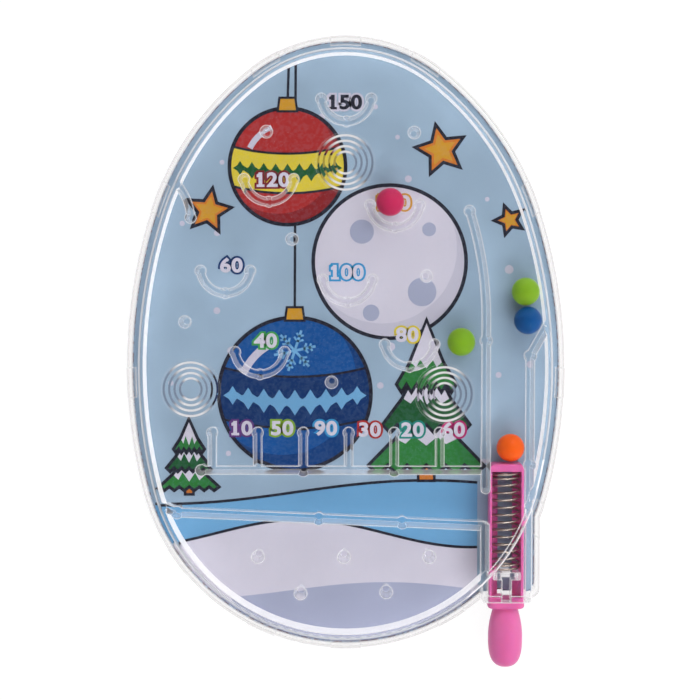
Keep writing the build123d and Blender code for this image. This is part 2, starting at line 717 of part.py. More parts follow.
total_turns = int(2 * END_TURNS) + ACTIVE_TURNS
knots = [count / ARCS_PER_TURN for count in range(ARCS_PER_TURN * total_turns + 1)]
with BuildPart() as spring:
    with BuildLine() as wire:
        first_point = coil_point(0)
        first_tangent = Vector(0, 0, 1)
        bend_top = first_point - first_tangent * SPRING_BEND + Vector(0, SPRING_BEND, 0)
        Line(bend_top + Vector(0, WIRE_DIAMETER, 0), bend_top)
        TangentArc(bend_top, first_point, tangent=(0, -1, 0))
        tangents = [first_tangent] + [coil_tangent(turns) for turns in knots[1:-1]]
        tangents.append(Vector(0, 0, 1))
        for here, there, tangent, next_tangent in zip(
            knots[:-1], knots[1:], tangents[:-1], tangents[1:]
        ):
            biarc(coil_point(here), tangent, coil_point(there), next_tangent)
        last_point = coil_point(total_turns)
        bend_foot = last_point + Vector(0, -SPRING_BEND, SPRING_BEND)
        TangentArc(last_point, bend_foot, tangent=(0, 0, 1))
        Line(bend_foot, bend_foot + Vector(0, -WIRE_DIAMETER, 0))
    start_plane = Plane(origin=bend_top + Vector(0, WIRE_DIAMETER, 0), z_dir=(0, -1, 0))
    with BuildSketch(start_plane):
        Circle(WIRE_DIAMETER / 2)
    sweep(path=wire.wires()[0])
export(spring.part, "spring")

sample_count = SAMPLES_PER_TURN * total_turns + 1
samples = [coil_point(count / SAMPLES_PER_TURN) for count in range(sample_count)]
half_turn = SAMPLES_PER_TURN // 2
least_gap = min(
    (samples[i] - samples[j]).length - WIRE_DIAMETER
    for i in range(sample_count)
    for j in range(i + half_turn, min(i + 3 * half_turn, sample_count))
)
print(f"spring: {total_turns} turns, pitch {active_pitch:.3f}, least gap to itself {least_gap:.3f} mm")

# Loose balls, each where it lies in the game
ledge = (Vector(*guard_top) - Vector(*guard_corner)).normalized()
ledge_side = Vector(-ledge.Y, ledge.X)
blue_reach = BALL_RADIUS + BLUE_LEDGE_GAP
blue = Vector(*guard_corner) + ledge * BLUE_ALONG_LEDGE + ledge_side * blue_reach
lime_y = blue.Y + 2 * BALL_RADIUS + LIME_BALL_GAP
field_flank = FLANK_RADIUS - WALL_INSET - WALL_THICKNESS
lime_x = flank_centre.X + sqrt(field_flank**2 - lime_y**2) - BALL_RADIUS - LIME_WALL_GAP
pink_cup = cup_centres["cup_110"]
green_cup = cup_centres["cup_80"]
balls = {
    "ball_pink": (pink_cup[0] + PINK_IN_CUP[0], pink_cup[1] + PINK_IN_CUP[1]),
    "ball_green": (lane_wall_x - GREEN_FROM_LANE, green_cup[1] + GREEN_OVER_CUP),
    "ball_lime": (lime_x, lime_y),
    "ball_blue": (blue.X, blue.Y),
    "ball_orange": (plunger_x + ORANGE_SHIFT, tip_y + BALL_RADIUS + ORANGE_GAP),
}
for ball_name, (ball_x, ball_y) in balls.items():
    with BuildPart() as ball:
        with Locations((ball_x, ball_y, card_top + BALL_LIFT + BALL_RADIUS)):
            Sphere(BALL_RADIUS)
    export(ball.part, ball_name)
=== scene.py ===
"""Looks of a clear, egg-shaped pocket pinball game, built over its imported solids.

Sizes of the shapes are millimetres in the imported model's frame: the game lies flat, +Y points to
the crown of the egg and +Z up. Meshes are built in metres, and finishes, lamps and camera use them.
"""

import json
import logging
import math
import random
from collections import defaultdict
from dataclasses import dataclass, field
from enum import Enum, IntEnum

import bmesh
import bpy
from mathutils import Matrix, Vector
from mathutils.geometry import tessellate_polygon

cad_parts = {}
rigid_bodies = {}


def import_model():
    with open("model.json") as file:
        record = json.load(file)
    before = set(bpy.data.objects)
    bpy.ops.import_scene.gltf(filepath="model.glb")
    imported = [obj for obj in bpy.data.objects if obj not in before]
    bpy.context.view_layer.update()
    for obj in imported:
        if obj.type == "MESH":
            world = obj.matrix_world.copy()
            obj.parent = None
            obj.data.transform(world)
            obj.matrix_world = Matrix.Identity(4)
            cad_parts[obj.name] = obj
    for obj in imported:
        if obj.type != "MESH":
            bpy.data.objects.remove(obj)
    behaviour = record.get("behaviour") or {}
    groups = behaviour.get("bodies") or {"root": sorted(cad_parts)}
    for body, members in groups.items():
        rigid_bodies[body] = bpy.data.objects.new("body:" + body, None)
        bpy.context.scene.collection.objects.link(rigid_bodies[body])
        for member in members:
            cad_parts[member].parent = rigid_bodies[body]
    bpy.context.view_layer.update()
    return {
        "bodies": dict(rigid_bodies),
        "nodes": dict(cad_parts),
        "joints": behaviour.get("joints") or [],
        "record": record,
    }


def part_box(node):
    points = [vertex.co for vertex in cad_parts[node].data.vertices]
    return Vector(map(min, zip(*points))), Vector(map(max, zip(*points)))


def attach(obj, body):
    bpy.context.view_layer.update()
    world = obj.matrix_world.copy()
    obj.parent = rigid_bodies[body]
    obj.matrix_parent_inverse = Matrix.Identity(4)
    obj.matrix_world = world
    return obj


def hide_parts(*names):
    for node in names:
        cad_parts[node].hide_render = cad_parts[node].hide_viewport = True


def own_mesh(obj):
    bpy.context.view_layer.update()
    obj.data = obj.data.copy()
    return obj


MM = 0.001
# Corners of a solid that lie closer than this, in metres, are one
SEAM_GAP = 1e-7
# The least cosine at a corner, which keeps a mitre short
MITRE_LIMIT = 0.45
# Below this length two directions cancel out
NO_LENGTH = 1e-6
# Radius of a crescent's inner edge, as a share of the outer one
SHADE_CURVE = 0.98
# A face whose normal rises more than this looks up
UPWARD = 0.9
WHITE = (1, 1, 1, 1)
Point = tuple[float, float]
Place = tuple[float, float, float]
Loop = list[Point]
Colour = tuple[float, float, float]
Socket = bpy.types.NodeSocket
Sockets = bpy.types.bpy_prop_collection
Group = bpy.types.NodeTree
Material = bpy.types.Material
Piece = bpy.types.Object
MeshData = bpy.types.Mesh
log = logging.getLogger("pocket_pinball")


def linear(channel: int) -> float:
    """Turn one display channel, 0 to 255, into the linear value that shaders use."""
    share = channel / 255
    return share / 12.92 if share <= 0.04045 else ((share + 0.055) / 1.055) ** 2.4


def from_display(*channels: int) -> Colour:
    """Turn a display colour into the linear colour that shaders use."""
    return tuple(linear(channel) for channel in channels)


# Outlines of the case and simple flat figures


def polar(x: float, y: float, radius: float, turn: float) -> Point:
    """The point at a distance and a turn from another one."""
    return (x + radius * math.cos(turn), y + radius * math.sin(turn))


@dataclass(frozen=True)
class EggOutline:
    """The egg that every layer of the case follows, four tangent arcs a side."""

    half_width: float = 47.25
    flank: float = 109.5
    foot: float = 45.3
    shoulder: float = 62.0
    shoulder_start: float = 18.6
    shoulder_foot: float = 33.0
    crown: float = 33.7

    @property
    def flank_x(self) -> float:
        """Place of the right flank's centre across the egg."""
        return self.half_width - self.flank

    @property
    def foot_y(self) -> float:
        """Height of the foot arc's centre."""
        reach = self.flank - self.foot
        return -math.sqrt(reach**2 - self.flank_x**2)

    @property
    def shoulder_centre(self) -> Point:
        """Centre of the right shoulder's arc."""
        turn = math.radians(self.shoulder_start)
        return polar(self.flank_x, 0.0, self.flank - self.shoulder, turn)

    @property
    def crown_y(self) -> float:
        """Height of the crown arc's centre."""
        x, y = self.shoulder_centre
        return y + math.sqrt((self.shoulder - self.crown) ** 2 - x**2)

    def low_edge(self, x: float, inset: float) -> float:
        """Find the egg's lower edge.

        Args:
            x: Distance from the centre line.
            inset: Margin kept inside the outline.

        Returns:
            Height of the lower edge there.
        """
        x = abs(x)
        hand_over = -self.flank_x / (self.flank - self.foot) * (self.foot - inset)
        if x <= hand_over:
            return self.foot_y - math.sqrt((self.foot - inset) ** 2 - x**2)
        reach = (self.flank - inset) ** 2 - (x - self.flank_x) ** 2
        return -math.sqrt(max(reach, 0))

    def high_edge(self, x: float, inset: float) -> float:
        """Find the egg's upper edge.

        Args:
            x: Distance from the centre line.
            inset: Margin kept inside the outline.

        Returns:
            Height of the upper edge there.
        """
        x = abs(x)
        centre_x, centre_y = self.shoulder_centre
        hand_over = -centre_x / (self.shoulder - self.crown) * (self.crown - inset)
        if x <= hand_over:
            return self.crown_y + math.sqrt((self.crown - inset) ** 2 - x**2)
        reach = (self.shoulder - inset) ** 2 - (x - centre_x) ** 2
        if reach > 0 and centre_y + math.sqrt(reach) > self.shoulder_foot:
            return centre_y + math.sqrt(reach)
        return math.sqrt(max((self.flank - inset) ** 2 - (x - self.flank_x) ** 2, 0))

    def holds(self, x: float, y: float, inset: float) -> bool:
        """Tell whether a point lies inside the egg.

        Args:
            x: Distance from the centre line.
            y: Height.
            inset: Margin kept inside the outline.

        Returns:
            True inside the margin.
        """
        if abs(x) >= self.half_width - inset:
            return False
        return self.low_edge(x, inset) < y < self.high_edge(x, inset)


EGG = EggOutline()


def arc(x: float, y: float, radius: float, start: float, sweep: float, steps: int) -> Loop:
    """Points along a circle from one turn on by a sweep, both ends among them."""
    turns = [start + sweep * step / steps for step in range(steps + 1)]
    return [polar(x, y, radius, turn) for turn in turns]


def circle(x: float, y: float, radius: float, steps: int = 72) -> Loop:
    """Points round a circle."""
    return arc(x, y, radius, 0, 2 * math.pi, steps)[:-1]


def star(x: float, y: float, outer: float, inner: float, tilt: float, points: int = 5) -> Loop:
    """Points of a star.

    Args:
        x: Centre across.
        y: Centre up.
        outer: Radius of the tips.
        inner: Radius of the notches.
        tilt: Turn of the first tip from straight up, in degrees.
        points: Number of tips.

    Returns:
        The loop.
    """
    turns = [math.radians(90 + tilt) + math.pi * step / points for step in range(2 * points)]
    radii = (outer, inner) * points
    return [polar(x, y, radius, turn) for radius, turn in zip(radii, turns)]


def shifted(points: Loop, distance: float, closed: bool) -> Loop:
    """Move a line sideways with mitred corners.

    Args:
        points: The line.
        distance: How far to its left.
        closed: Whether the last point joins the first.

    Returns:
        The moved line.
    """
    count = len(points)
    moved = []
    for index, (x, y) in enumerate(points):
        before = points[index - 1] if closed or index else points[index]
        after = points[(index + 1) % count] if closed or index < count - 1 else points[index]
        first = Vector((x - before[0], y - before[1]))
        second = Vector((after[0] - x, after[1] - y))
        first = first.normalized() if first.length else second.normalized()
        second = second.normalized() if second.length else first
        bisector = Vector((-first.y - second.y, first.x + second.x))
        square = Vector((-first.y, first.x))
        bisector = bisector.normalized() if bisector.length > NO_LENGTH else square
        cosine = max(bisector.dot(square), MITRE_LIMIT)
        moved.append((x + bisector.x * distance / cosine, y + bisector.y * distance / cosine))
    return moved


def ribbon(points: Loop, width: float, closed: bool = False) -> list[Loop]:
    """Outline of a drawn line of even width.

    Args:
        points: The line's middle.
        width: The line's width.
        closed: Whether it closes on itself.

    Returns:
        One loop for an open line, or an outer and an inner loop for a closed one.
    """
    left = shifted(points, width / 2, closed)
    right = shifted(points, -width / 2, closed)
    if closed:
        return [left, right] if loop_area(left) > loop_area(right) else [right, left]
    return [left + right[::-1]]


def loop_area(points: Loop) -> float:
    """Area inside a loop, always positive."""
    sides = zip(points, points[1:] + points[:1])
    return abs(sum(x0 * y1 - x1 * y0 for (x0, y0), (x1, y1) in sides)) / 2


def crescent(x: float, y: float, radius: float, depth: float, lit_from: float) -> Loop:
    """The shaded side of a drawn round.

    Args:
        x: Centre across.
        y: Centre up.
        radius: Radius of the round.
        depth: Depth of the shade at its widest, as a share of the radius.
        lit_from: Direction that the light comes from, in degrees.

    Returns:
        The loop.
    """
    light = math.radians(lit_from)
    inner = radius * SHADE_CURVE
    apart = radius * depth
    across = (radius**2 - inner**2 + apart**2) / (2 * apart)
    outer_turn = math.acos(across / radius)
    inner_turn = math.acos((across - apart) / inner)
    steps = 48
    outer = arc(x, y, radius, light + outer_turn, 2 * math.pi - 2 * outer_turn, steps)
    centre = polar(x, y, apart, light)
    start = light + 2 * math.pi - inner_turn
    return outer + arc(*centre, inner, start, 2 * inner_turn - 2 * math.pi, steps)[1:-1]


def bowed_line(x: float, y: float, radius: float, edge: float, sag: float, steps: int) -> Loop:
    """A line across a drawn ball that bows as on a sphere.

    Args:
        x: Centre across.
        y: Centre up.
        radius: Radius of the ball.
        edge: The line's height, measured from the centre.
        sag: How far it bows down.
        steps: Number of steps from the middle to an end.

    Returns:
        The line.
    """
    reach = math.sqrt(radius**2 - edge**2)
    shares = [step / steps for step in range(-steps, steps + 1)]
    return [(x + reach * share, y + edge - sag * (1 - share**2)) for share in shares]


def ball_band(x: float, y: float, radius: float, low: float, high: float, sag: float) -> Loop:
    """A band round a drawn ball, its edges bowed as on a sphere.

    Args:
        x: Centre across.
        y: Centre up.
        radius: Radius of the ball.
        low: Lower edge, measured from the centre.
        high: Upper edge, measured from the centre.
        sag: How far the edges bow down.

    Returns:
        The loop.
    """
    steps = 16
    start = math.asin(high / radius)
    finish = math.asin(low / radius)
    right = arc(x, y, radius, start, finish - start, steps)[1:-1]
    left = arc(x, y, radius, math.pi - finish, finish - start, steps)[1:-1]
    top = bowed_line(x, y, radius, high, sag, steps)
    bottom = bowed_line(x, y, radius, low, sag, steps)
    return top + right + bottom[::-1] + left


# Shader building


class Sheet:
    """A short way to place and join nodes in one tree."""

    def __init__(self, tree: Group) -> None:
        """Keep the tree that nodes go into."""
        self.tree = tree

    def feed(self, socket: Socket, value: object) -> None:
        """Join a link to a socket, or set its value.

        Args:
            socket: The socket.
            value: The link or the value.
        """
        if isinstance(value, Socket):
            self.tree.links.new(value, socket)
        else:
            socket.default_value = value

    def put(self, kind: str, **values: object) -> bpy.types.Node:
        """Add one node and fill its sockets.

        Args:
            kind: The node's type name.
            values: Socket values or links, by socket name with _ for a space; a name in small
                letters is a property of the node.

        Returns:
            The node.
        """
        node = self.tree.nodes.new(kind)
        for name in filter(str.islower, values):
            setattr(node, name, values[name])
        for name, value in values.items():
            if not name.islower():
                self.feed(node.inputs[name.replace("_", " ")], value)
        return node

    def maths(self, operation: str, *values: object) -> Socket:
        """Add one sum.

        Args:
            operation: The kind of sum.
            values: Its numbers or links, in order.

        Returns:
            The result.
        """
        node = self.put("ShaderNodeMath", operation=operation)
        for socket, value in zip(node.inputs, values):
            self.feed(socket, value)
        return node.outputs[0]

    def span(self, value: Socket, given: Point, wanted: Point = (0.0, 1.0)) -> Socket:
        """Stretch a value from one span to another.

        Args:
            value: The value.
            given: Ends of the span that it comes in.
            wanted: Ends of the span that it leaves in.

        Returns:
            The result, held inside the wanted span.
        """
        node = self.put("ShaderNodeMapRange", Value=value)
        node.inputs["From Min"].default_value, node.inputs["From Max"].default_value = given
        node.inputs["To Min"].default_value, node.inputs["To Max"].default_value = wanted
        return node.outputs[0]

    def noise(self, place: Socket, scale: float, detail: float, **more: float) -> Socket:
        """Add a cloudy pattern, looked up at a place, with finer layers by its detail."""
        node = self.put("ShaderNodeTexNoise", Vector=place, Scale=scale, Detail=detail, **more)
        return node.outputs["Fac"]

    def place(self) -> Socket:
        """Find where a point lies in its object."""
        return self.put("ShaderNodeTexCoord").outputs["Object"]

    def parts(self, vector: Socket) -> Sockets:
        """Split a vector into X, Y and Z."""
        return self.put("ShaderNodeSeparateXYZ", Vector=vector).outputs

    def facing(self) -> Socket:
        """Tell how far a face is seen at a slant."""
        return self.put("ShaderNodeLayerWeight", Blend=0.5).outputs["Facing"]

    def bump(self, height: Socket, strength: float, depth: float) -> Socket:
        """Lift the surface a little by a height."""
        node = self.put("ShaderNodeBump", Strength=strength, Distance=depth, Height=height)
        return node.outputs[0]

    def body(self, **values: object) -> Socket:
        """Add the surface of a solid or clear body."""
        return self.put("ShaderNodeBsdfPrincipled", **values).outputs[0]

    def mix(self, share: Socket, first: object, second: object) -> Socket:
        """Mix two colours.

        Args:
            share: How much of the second one shows.
            first: A colour or a link.
            second: Another one.

        Returns:
            The mixed colour.
        """
        node = self.put("ShaderNodeMix", data_type="RGBA", Factor=share)
        self.feed(node.inputs[6], first)
        self.feed(node.inputs[7], second)
        return node.outputs[2]

    def blend(self, share: Socket, first: Socket, second: Socket) -> Socket:
        """Mix two shaders.

        Args:
            share: How much of the second one shows.
            first: A shader.
            second: Another shader.

        Returns:
            The mixed shader.
        """
        node = self.put("ShaderNodeMixShader", Fac=share)
        self.feed(node.inputs[1], first)
        self.feed(node.inputs[2], second)
        return node.outputs[0]


def start_group(
    name: str, inputs: dict[str, object], outputs: dict[str, str]
) -> tuple[Sheet, Sockets]:
    """Make an empty shader group with named sockets.

    Args:
        name: The group's name.
        inputs: Default of each input.
        outputs: Kind of each output, Color or Float.

    Returns:
        A sheet on the group and the links that its inputs give.
    """
    group = bpy.data.node_groups.new(name, "ShaderNodeTree")
    for label, default in inputs.items():
        kind = "NodeSocketFloat" if isinstance(default, float) else "NodeSocketColor"
        socket = group.interface.new_socket(name=label, in_out="INPUT", socket_type=kind)
        socket.default_value = default
    for label, kind in outputs.items():
        group.interface.new_socket(name=label, in_out="OUTPUT", socket_type=f"NodeSocket{kind}")
    sheet = Sheet(group)
    return sheet, sheet.put("NodeGroupInput").outputs


def print_grain_group() -> Group:
    """Build the look of ink on card: soft mottling, fine dots of the press and a low emboss.

    Returns:
        The group.
    """
    inputs = {"Ink": WHITE, "Paper": WHITE, "Mottle": 0.06, "Grain": 0.08, "Wear": 0.0}
    outputs = {"Colour": "Color", "Height": "Float"}
    sheet, given = start_group("print_grain", inputs, outputs)
    place = sheet.place()
    cloud = sheet.noise(place, 38.0, 3.0, Roughness=0.55)
    dots = sheet.noise(place, 2600.0, 2.0, Roughness=0.7)
    flecks = sheet.noise(place, 1500.0, 3.0, Roughness=0.6)
    clouded = sheet.maths("MULTIPLY", sheet.maths("SUBTRACT", cloud, 0.5), given["Mottle"])
    specks = sheet.maths("SUBTRACT", dots, 0.5)
    dotted = sheet.maths("MULTIPLY_ADD", specks, given["Grain"], clouded)
    worn = sheet.maths("MULTIPLY", sheet.span(flecks, (0.46, 0.56)), given["Wear"])
    shown = sheet.mix(worn, given["Ink"], given["Paper"])
    level = sheet.maths("ADD", dotted, 1.0)
    tone = sheet.put("ShaderNodeHueSaturation", Color=shown, Value=level)
    sheet.put("NodeGroupOutput", Colour=tone.outputs["Color"], Height=dots)
    return sheet.tree


def moulded_skin_group() -> Group:
    """Build the look of a moulded plastic skin: faint flow marks, scuffs and a fine bump.

    Returns:
        The group.
    """
    inputs = {"Body": WHITE, "Flow": 0.05, "Scuff": 0.1, "Smoothness": 0.3}
    outputs = {"Colour": "Color", "Roughness": "Float", "Height": "Float"}
    sheet, given = start_group("moulded_skin", inputs, outputs)
    place = sheet.place()
    flow = sheet.noise(place, 260.0, 3.0, Distortion=0.8)
    skin = sheet.noise(place, 5200.0, 2.0)
    drawn = sheet.put("ShaderNodeMapping", Vector=place, Scale=(500.0, 4200.0, 900.0))
    marks = sheet.noise(drawn.outputs[0], 1.0, 4.0)
    scratch = sheet.maths("MULTIPLY", sheet.span(marks, (0.66, 0.74)), given["Scuff"])
    shade = sheet.maths("MULTIPLY_ADD", sheet.maths("SUBTRACT", flow, 0.5), given["Flow"], 1.0)
    lifted = sheet.maths("ADD", shade, scratch)
    tone = sheet.put("ShaderNodeHueSaturation", Color=given["Body"], Value=lifted)
    rough = sheet.maths("ADD", given["Smoothness"], scratch)
    sheet.put("NodeGroupOutput", Colour=tone.outputs["Color"], Roughness=rough, Height=skin)
    return sheet.tree


def edge_highlight_mask_group() -> Group:
    """Build a mask of the soft edges and corners that catch the light on a moulding, where a
    painted highlight is laid.

    Returns:
        The group.
    """
    inputs = {"Gain": 4.0, "Top": 0.9, "Foot": 1.0}
    sheet, given = start_group("edge_highlight_mask", inputs, {"Mask": "Float"})
    rounded = sheet.put("ShaderNodeBevel", samples=6, Radius=0.0004)
    likeness = sheet.put("ShaderNodeVectorMath", operation="DOT_PRODUCT")
    sheet.feed(likeness.inputs[0], rounded.outputs[0])
    sheet.feed(likeness.inputs[1], sheet.put("ShaderNodeNewGeometry").outputs["Normal"])
    turned = sheet.maths("SUBTRACT", 1.0, likeness.outputs["Value"])
    strong = sheet.maths("MULTIPLY", turned, given["Gain"])
    height = sheet.parts(sheet.place())["Z"]
    rise = sheet.put("ShaderNodeMapRange", Value=height, From_Min=0.003, From_Max=0.0045)
    sheet.feed(rise.inputs["To Min"], given["Foot"])
    limited = sheet.maths("MINIMUM", strong, given["Top"])
    sheet.put("NodeGroupOutput", Mask=sheet.maths("MULTIPLY", limited, rise.outputs[0]))
    return sheet.tree


class Effects:
    """The shader groups that the finishes share, each built once."""

    def __init__(self) -> None:
        """Build every group."""
        self.print_grain = print_grain_group()
        self.moulded_skin = moulded_skin_group()
        self.edge_highlight_mask = edge_highlight_mask_group()

    def skin(self, sheet: Sheet, body: Colour, flow: float, scuff: float, smooth: float) -> Sockets:
        """Add the moulded skin to a finish, and give its outputs."""
        values = {"Body": (*body, 1), "Flow": flow, "Scuff": scuff, "Smoothness": smooth}
        return sheet.put("ShaderNodeGroup", node_tree=self.moulded_skin, **values).outputs


def new_material(name: str) -> tuple[Material, Sheet]:
    """Make an empty node material.

    Args:
        name: The material's name.

    Returns:
        The material and a sheet on its tree.
    """
    material = bpy.data.materials.new(name)
    material.use_nodes = True
    material.node_tree.nodes.clear()
    return material, Sheet(material.node_tree)


@dataclass(frozen=True)
class PrintFinish:
    """Ink or bare coat on the card."""

    name: str
    colour: Colour
    mottle: float = 0.1
    grain: float = 0.12
    wear: float = 0.0
    paper: Colour = from_display(150, 176, 201)

    def material(self, effects: Effects) -> Material:
        """Build the finish.

        Args:
            effects: The shared groups.

        Returns:
            The material.
        """
        material, sheet = new_material(self.name)
        grain = sheet.put(
            "ShaderNodeGroup",
            node_tree=effects.print_grain,
            Ink=(*self.colour, 1),
            Paper=(*self.paper, 1),
            Wear=self.wear,
            Mottle=self.mottle,
            Grain=self.grain,
        ).outputs
        body = sheet.body(
            Base_Color=grain["Colour"],
            Roughness=0.42,
            Specular_IOR_Level=0.15,
            Normal=sheet.bump(grain["Height"], 0.08, 0.00002),
        )
        sheet.put("ShaderNodeOutputMaterial", Surface=body)
        return material


@dataclass(frozen=True)
class ClearFinish:
    """Clear polished plastic that lets the light through to the card, with a painted sheen and a
    painted glow on its soft edges and slants.
    """

    name: str
    tint: Colour = (0.985, 0.988, 0.995)
    roughness: float = 0.02
    # Painted sheen: white laid on where the face is seen at a slant, and on soft edges
    frost: float = 0.32
    painted_slant_sheen_fall: float = 3.0
    edge_gain: float = 7.0
    edge_top: float = 0.9
    foot_share: float = 0.3
    # Colour of the painted sheen, and the painted glow that it gives off
    pale: Colour = (0.5, 0.49, 0.5)
    painted_sheen_glow: float = 0.42
    # Painted glow shown in place of light on paths that turn or bounce too often in the glass
    painted_deep_glow: Colour = (0.86, 0.88, 0.91)
    mirrored_after: float = 2.5
    trapped_after: float = 7.5

    def plastic(self, sheet: Sheet, effects: Effects) -> Socket:
        """Build the clear body.

        Args:
            sheet: The material's tree.
            effects: The shared groups.

        Returns:
            The shader.
        """
        skin = effects.skin(sheet, self.tint, 0.01, 0.02, self.roughness)
        return sheet.body(
            Base_Color=skin["Colour"],
            Roughness=skin["Roughness"],
            IOR=1.49,
            Transmission_Weight=1.0,
            Normal=sheet.bump(skin["Height"], 0.02, 0.00001),
        )

    def painted_highlight_share(self, sheet: Sheet, effects: Effects) -> Socket:
        """Find the share of painted sheen: white painted on soft edges and where the face is seen
        at a slant.

        Args:
            sheet: The material's tree.
            effects: The shared groups.

        Returns:
            The share of painted sheen.
        """
        fall = sheet.maths("POWER", sheet.facing(), self.painted_slant_sheen_fall)
        amount = sheet.maths("MULTIPLY", fall, self.frost)
        edge = sheet.put(
            "ShaderNodeGroup",
            node_tree=effects.edge_highlight_mask,
            Gain=self.edge_gain,
            Top=self.edge_top,
            Foot=self.foot_share,
        )
        return sheet.maths("MAXIMUM", amount, edge.outputs["Mask"])

    def shadow(self, sheet: Sheet) -> Socket:
        """Build what lamp light meets: nearly nothing face on, more at a slant.

        Args:
            sheet: The material's tree.

        Returns:
            The shader.
        """
        steep = sheet.maths("POWER", sheet.facing(), 2.0)
        shade = sheet.mix(steep, (0.98, 0.98, 0.985, 1), (0.45, 0.47, 0.52, 1))
        return sheet.put("ShaderNodeBsdfTransparent", Color=shade).outputs[0]

    def material(self, effects: Effects) -> Material:
        """Build the finish.

        Args:
            effects: The shared groups.

        Returns:
            The material.
        """
        material, sheet = new_material(self.name)
        # Painted sheen: a pale coat that glows a little, mixed in on edges and slants
        pale = sheet.body(
            Base_Color=(*self.pale, 1),
            Roughness=0.4,
            Emission_Color=(1.0, 0.985, 0.99, 1),
            Emission_Strength=self.painted_sheen_glow,
        )
        edged = sheet.blend(self.painted_highlight_share(sheet, effects), self.plastic(sheet, effects), pale)
        # Painted glow: an emission replaces deep light paths, fainter after a diffuse bounce
        path = sheet.put("ShaderNodeLightPath").outputs
        fading = sheet.maths("SUBTRACT", 0.9, path["Diffuse Depth"])
        strength = sheet.maths("MAXIMUM", fading, 0.25)
        painted_deep_glow = sheet.put("ShaderNodeEmission", Color=(*self.painted_deep_glow, 1), Strength=strength)
        turns = sheet.maths("GREATER_THAN", path["Glossy Depth"], self.mirrored_after)
        steps = sheet.maths("GREATER_THAN", path["Ray Depth"], self.trapped_after)
        lit = sheet.blend(sheet.maths("MAXIMUM", turns, steps), edged, painted_deep_glow.outputs[0])
        shown = sheet.blend(path["Is Shadow Ray"], lit, self.shadow(sheet))
        sheet.put("ShaderNodeOutputMaterial", Surface=shown)
        return material


@dataclass(frozen=True)
class TrayFinish(ClearFinish):
    """The tray's plastic, a shade greyer than the white table that shows through its rim."""

    tint: Colour = (0.945, 0.935, 0.935)
    foot_share: float = 0.6
    # Near-white painted glow in the rim, from the first mirror turn on
    painted_deep_glow: Colour = (1.0, 0.985, 0.985)
    mirrored_after: float = 0.5


@dataclass(frozen=True)
class BrimFinish(ClearFinish):
    """The dome's rounded brim, greyed by a tint and whitened by a painted sheen with a faint
    painted glow, which evens out the light that it bends.
    """

    # Grey tint and strong painted sheen with a faint painted glow
    tint: Colour = (0.72, 0.74, 0.78)
    frost: float = 0.8
    painted_slant_sheen_fall: float = 0.25
    edge_top: float = 0.2
    pale: Colour = (0.42, 0.45, 0.5)
    painted_sheen_glow: float = 0.2


@dataclass(frozen=True)
class StopFinish(ClearFinish):
    """The spring stop: a painted white highlight on its middle web, its wings stay clear."""

    frost: float = 0.15
    # Pink painted glow in place of the plunger's light on deep paths
    painted_deep_glow: Colour = (0.74, 0.4, 0.56)
    # Where the painted white highlight lies on the stop, and how strong it is
    middle: float = 0.03455
    half_width: float = 0.00094
    front: float = -0.0436
    low: float = 0.0028
    painted_glint_top: float = 0.95

    def painted_highlight_share(self, sheet: Sheet, effects: Effects) -> Socket:
        """Find the share of painted highlight: on the web's face to the spring and on its foot,
        with painted sheen at a slant.

        Args:
            sheet: The material's tree.
            effects: The shared groups; not used here.

        Returns:
            The share of painted highlight.
        """
        split = sheet.parts(sheet.place())
        off = sheet.maths("ABSOLUTE", sheet.maths("SUBTRACT", split["X"], self.middle))
        inside = sheet.maths("LESS_THAN", off, self.half_width)
        ahead = sheet.maths("GREATER_THAN", split["Y"], self.front)
        under = sheet.maths("LESS_THAN", split["Z"], self.low)
        shown = sheet.maths("MULTIPLY", inside, sheet.maths("MAXIMUM", ahead, under))
        edge = sheet.maths("MULTIPLY", sheet.facing(), self.frost)
        return sheet.maths("MAXIMUM", sheet.maths("MULTIPLY", shown, self.painted_glint_top), edge)


@dataclass(frozen=True)
class RingFinish(ClearFinish):
    """The sloping steps of the sunk discs: a painted highlight to the crown and the foot, and a
    dark tint that paints shade at the sides.
    """

    # Dark tint: painted shade on the steps wherever no highlight is painted
    tint: Colour = (0.36, 0.33, 0.38)
    # The lean towards the crown or the foot that starts and fills the painted highlight
    painted_glint_from: float = 0.23
    painted_glint_full: float = 0.37
    painted_glint_top: float = 0.84

    def painted_highlight_share(self, sheet: Sheet, effects: Effects) -> Socket:
        """Find the share of painted highlight: where the step leans to the crown or the foot.

        Args:
            sheet: The material's tree.
            effects: The shared groups; not used here.

        Returns:
            The share of painted highlight.
        """
        lean = sheet.put("ShaderNodeTexCoord").outputs["Normal"]
        along = sheet.maths("ABSOLUTE", sheet.parts(lean)["Y"])
        return sheet.span(along, (self.painted_glint_from, self.painted_glint_full), (0.0, self.painted_glint_top))


@dataclass(frozen=True)
class MouldedFinish:
    """Solid coloured plastic."""

    name: str
    colour: Colour
    roughness: float = 0.34
    flow: float = 0.08
    scuff: float = 0.12
    depth: float = 0.0008
    glow: float = 0.12
    shine: float = 0.4

    def material(self, effects: Effects) -> Material:
        """Build the finish.

        Args:
            effects: The shared groups.

        Returns:
            The material.
        """
        material, sheet = new_material(self.name)
        skin = effects.skin(sheet, self.colour, self.flow, self.scuff, self.roughness)
        body = sheet.body(
            Base_Color=skin["Colour"],
            Roughness=skin["Roughness"],
            Normal=sheet.bump(skin["Height"], 0.12, 0.00002),
            Specular_IOR_Level=self.shine,
            Subsurface_Weight=self.glow,
            Subsurface_Scale=self.depth,
        )
        sheet.put("ShaderNodeOutputMaterial", Surface=body)
        return material


@dataclass(frozen=True)
class WireFinish:
    """Drawn spring wire."""

    name: str
    colour: Colour
    roughness: float = 0.33

    def material(self, effects: Effects) -> Material:
        """Build the finish.

        Args:
            effects: The shared groups.

        Returns:
            The material.
        """
        material, sheet = new_material(self.name)
        skin = effects.skin(sheet, self.colour, 0.3, 0.1, self.roughness)
        body = sheet.body(Base_Color=skin["Colour"], Roughness=skin["Roughness"], Metallic=1.0)
        sheet.put("ShaderNodeOutputMaterial", Surface=body)
        return material


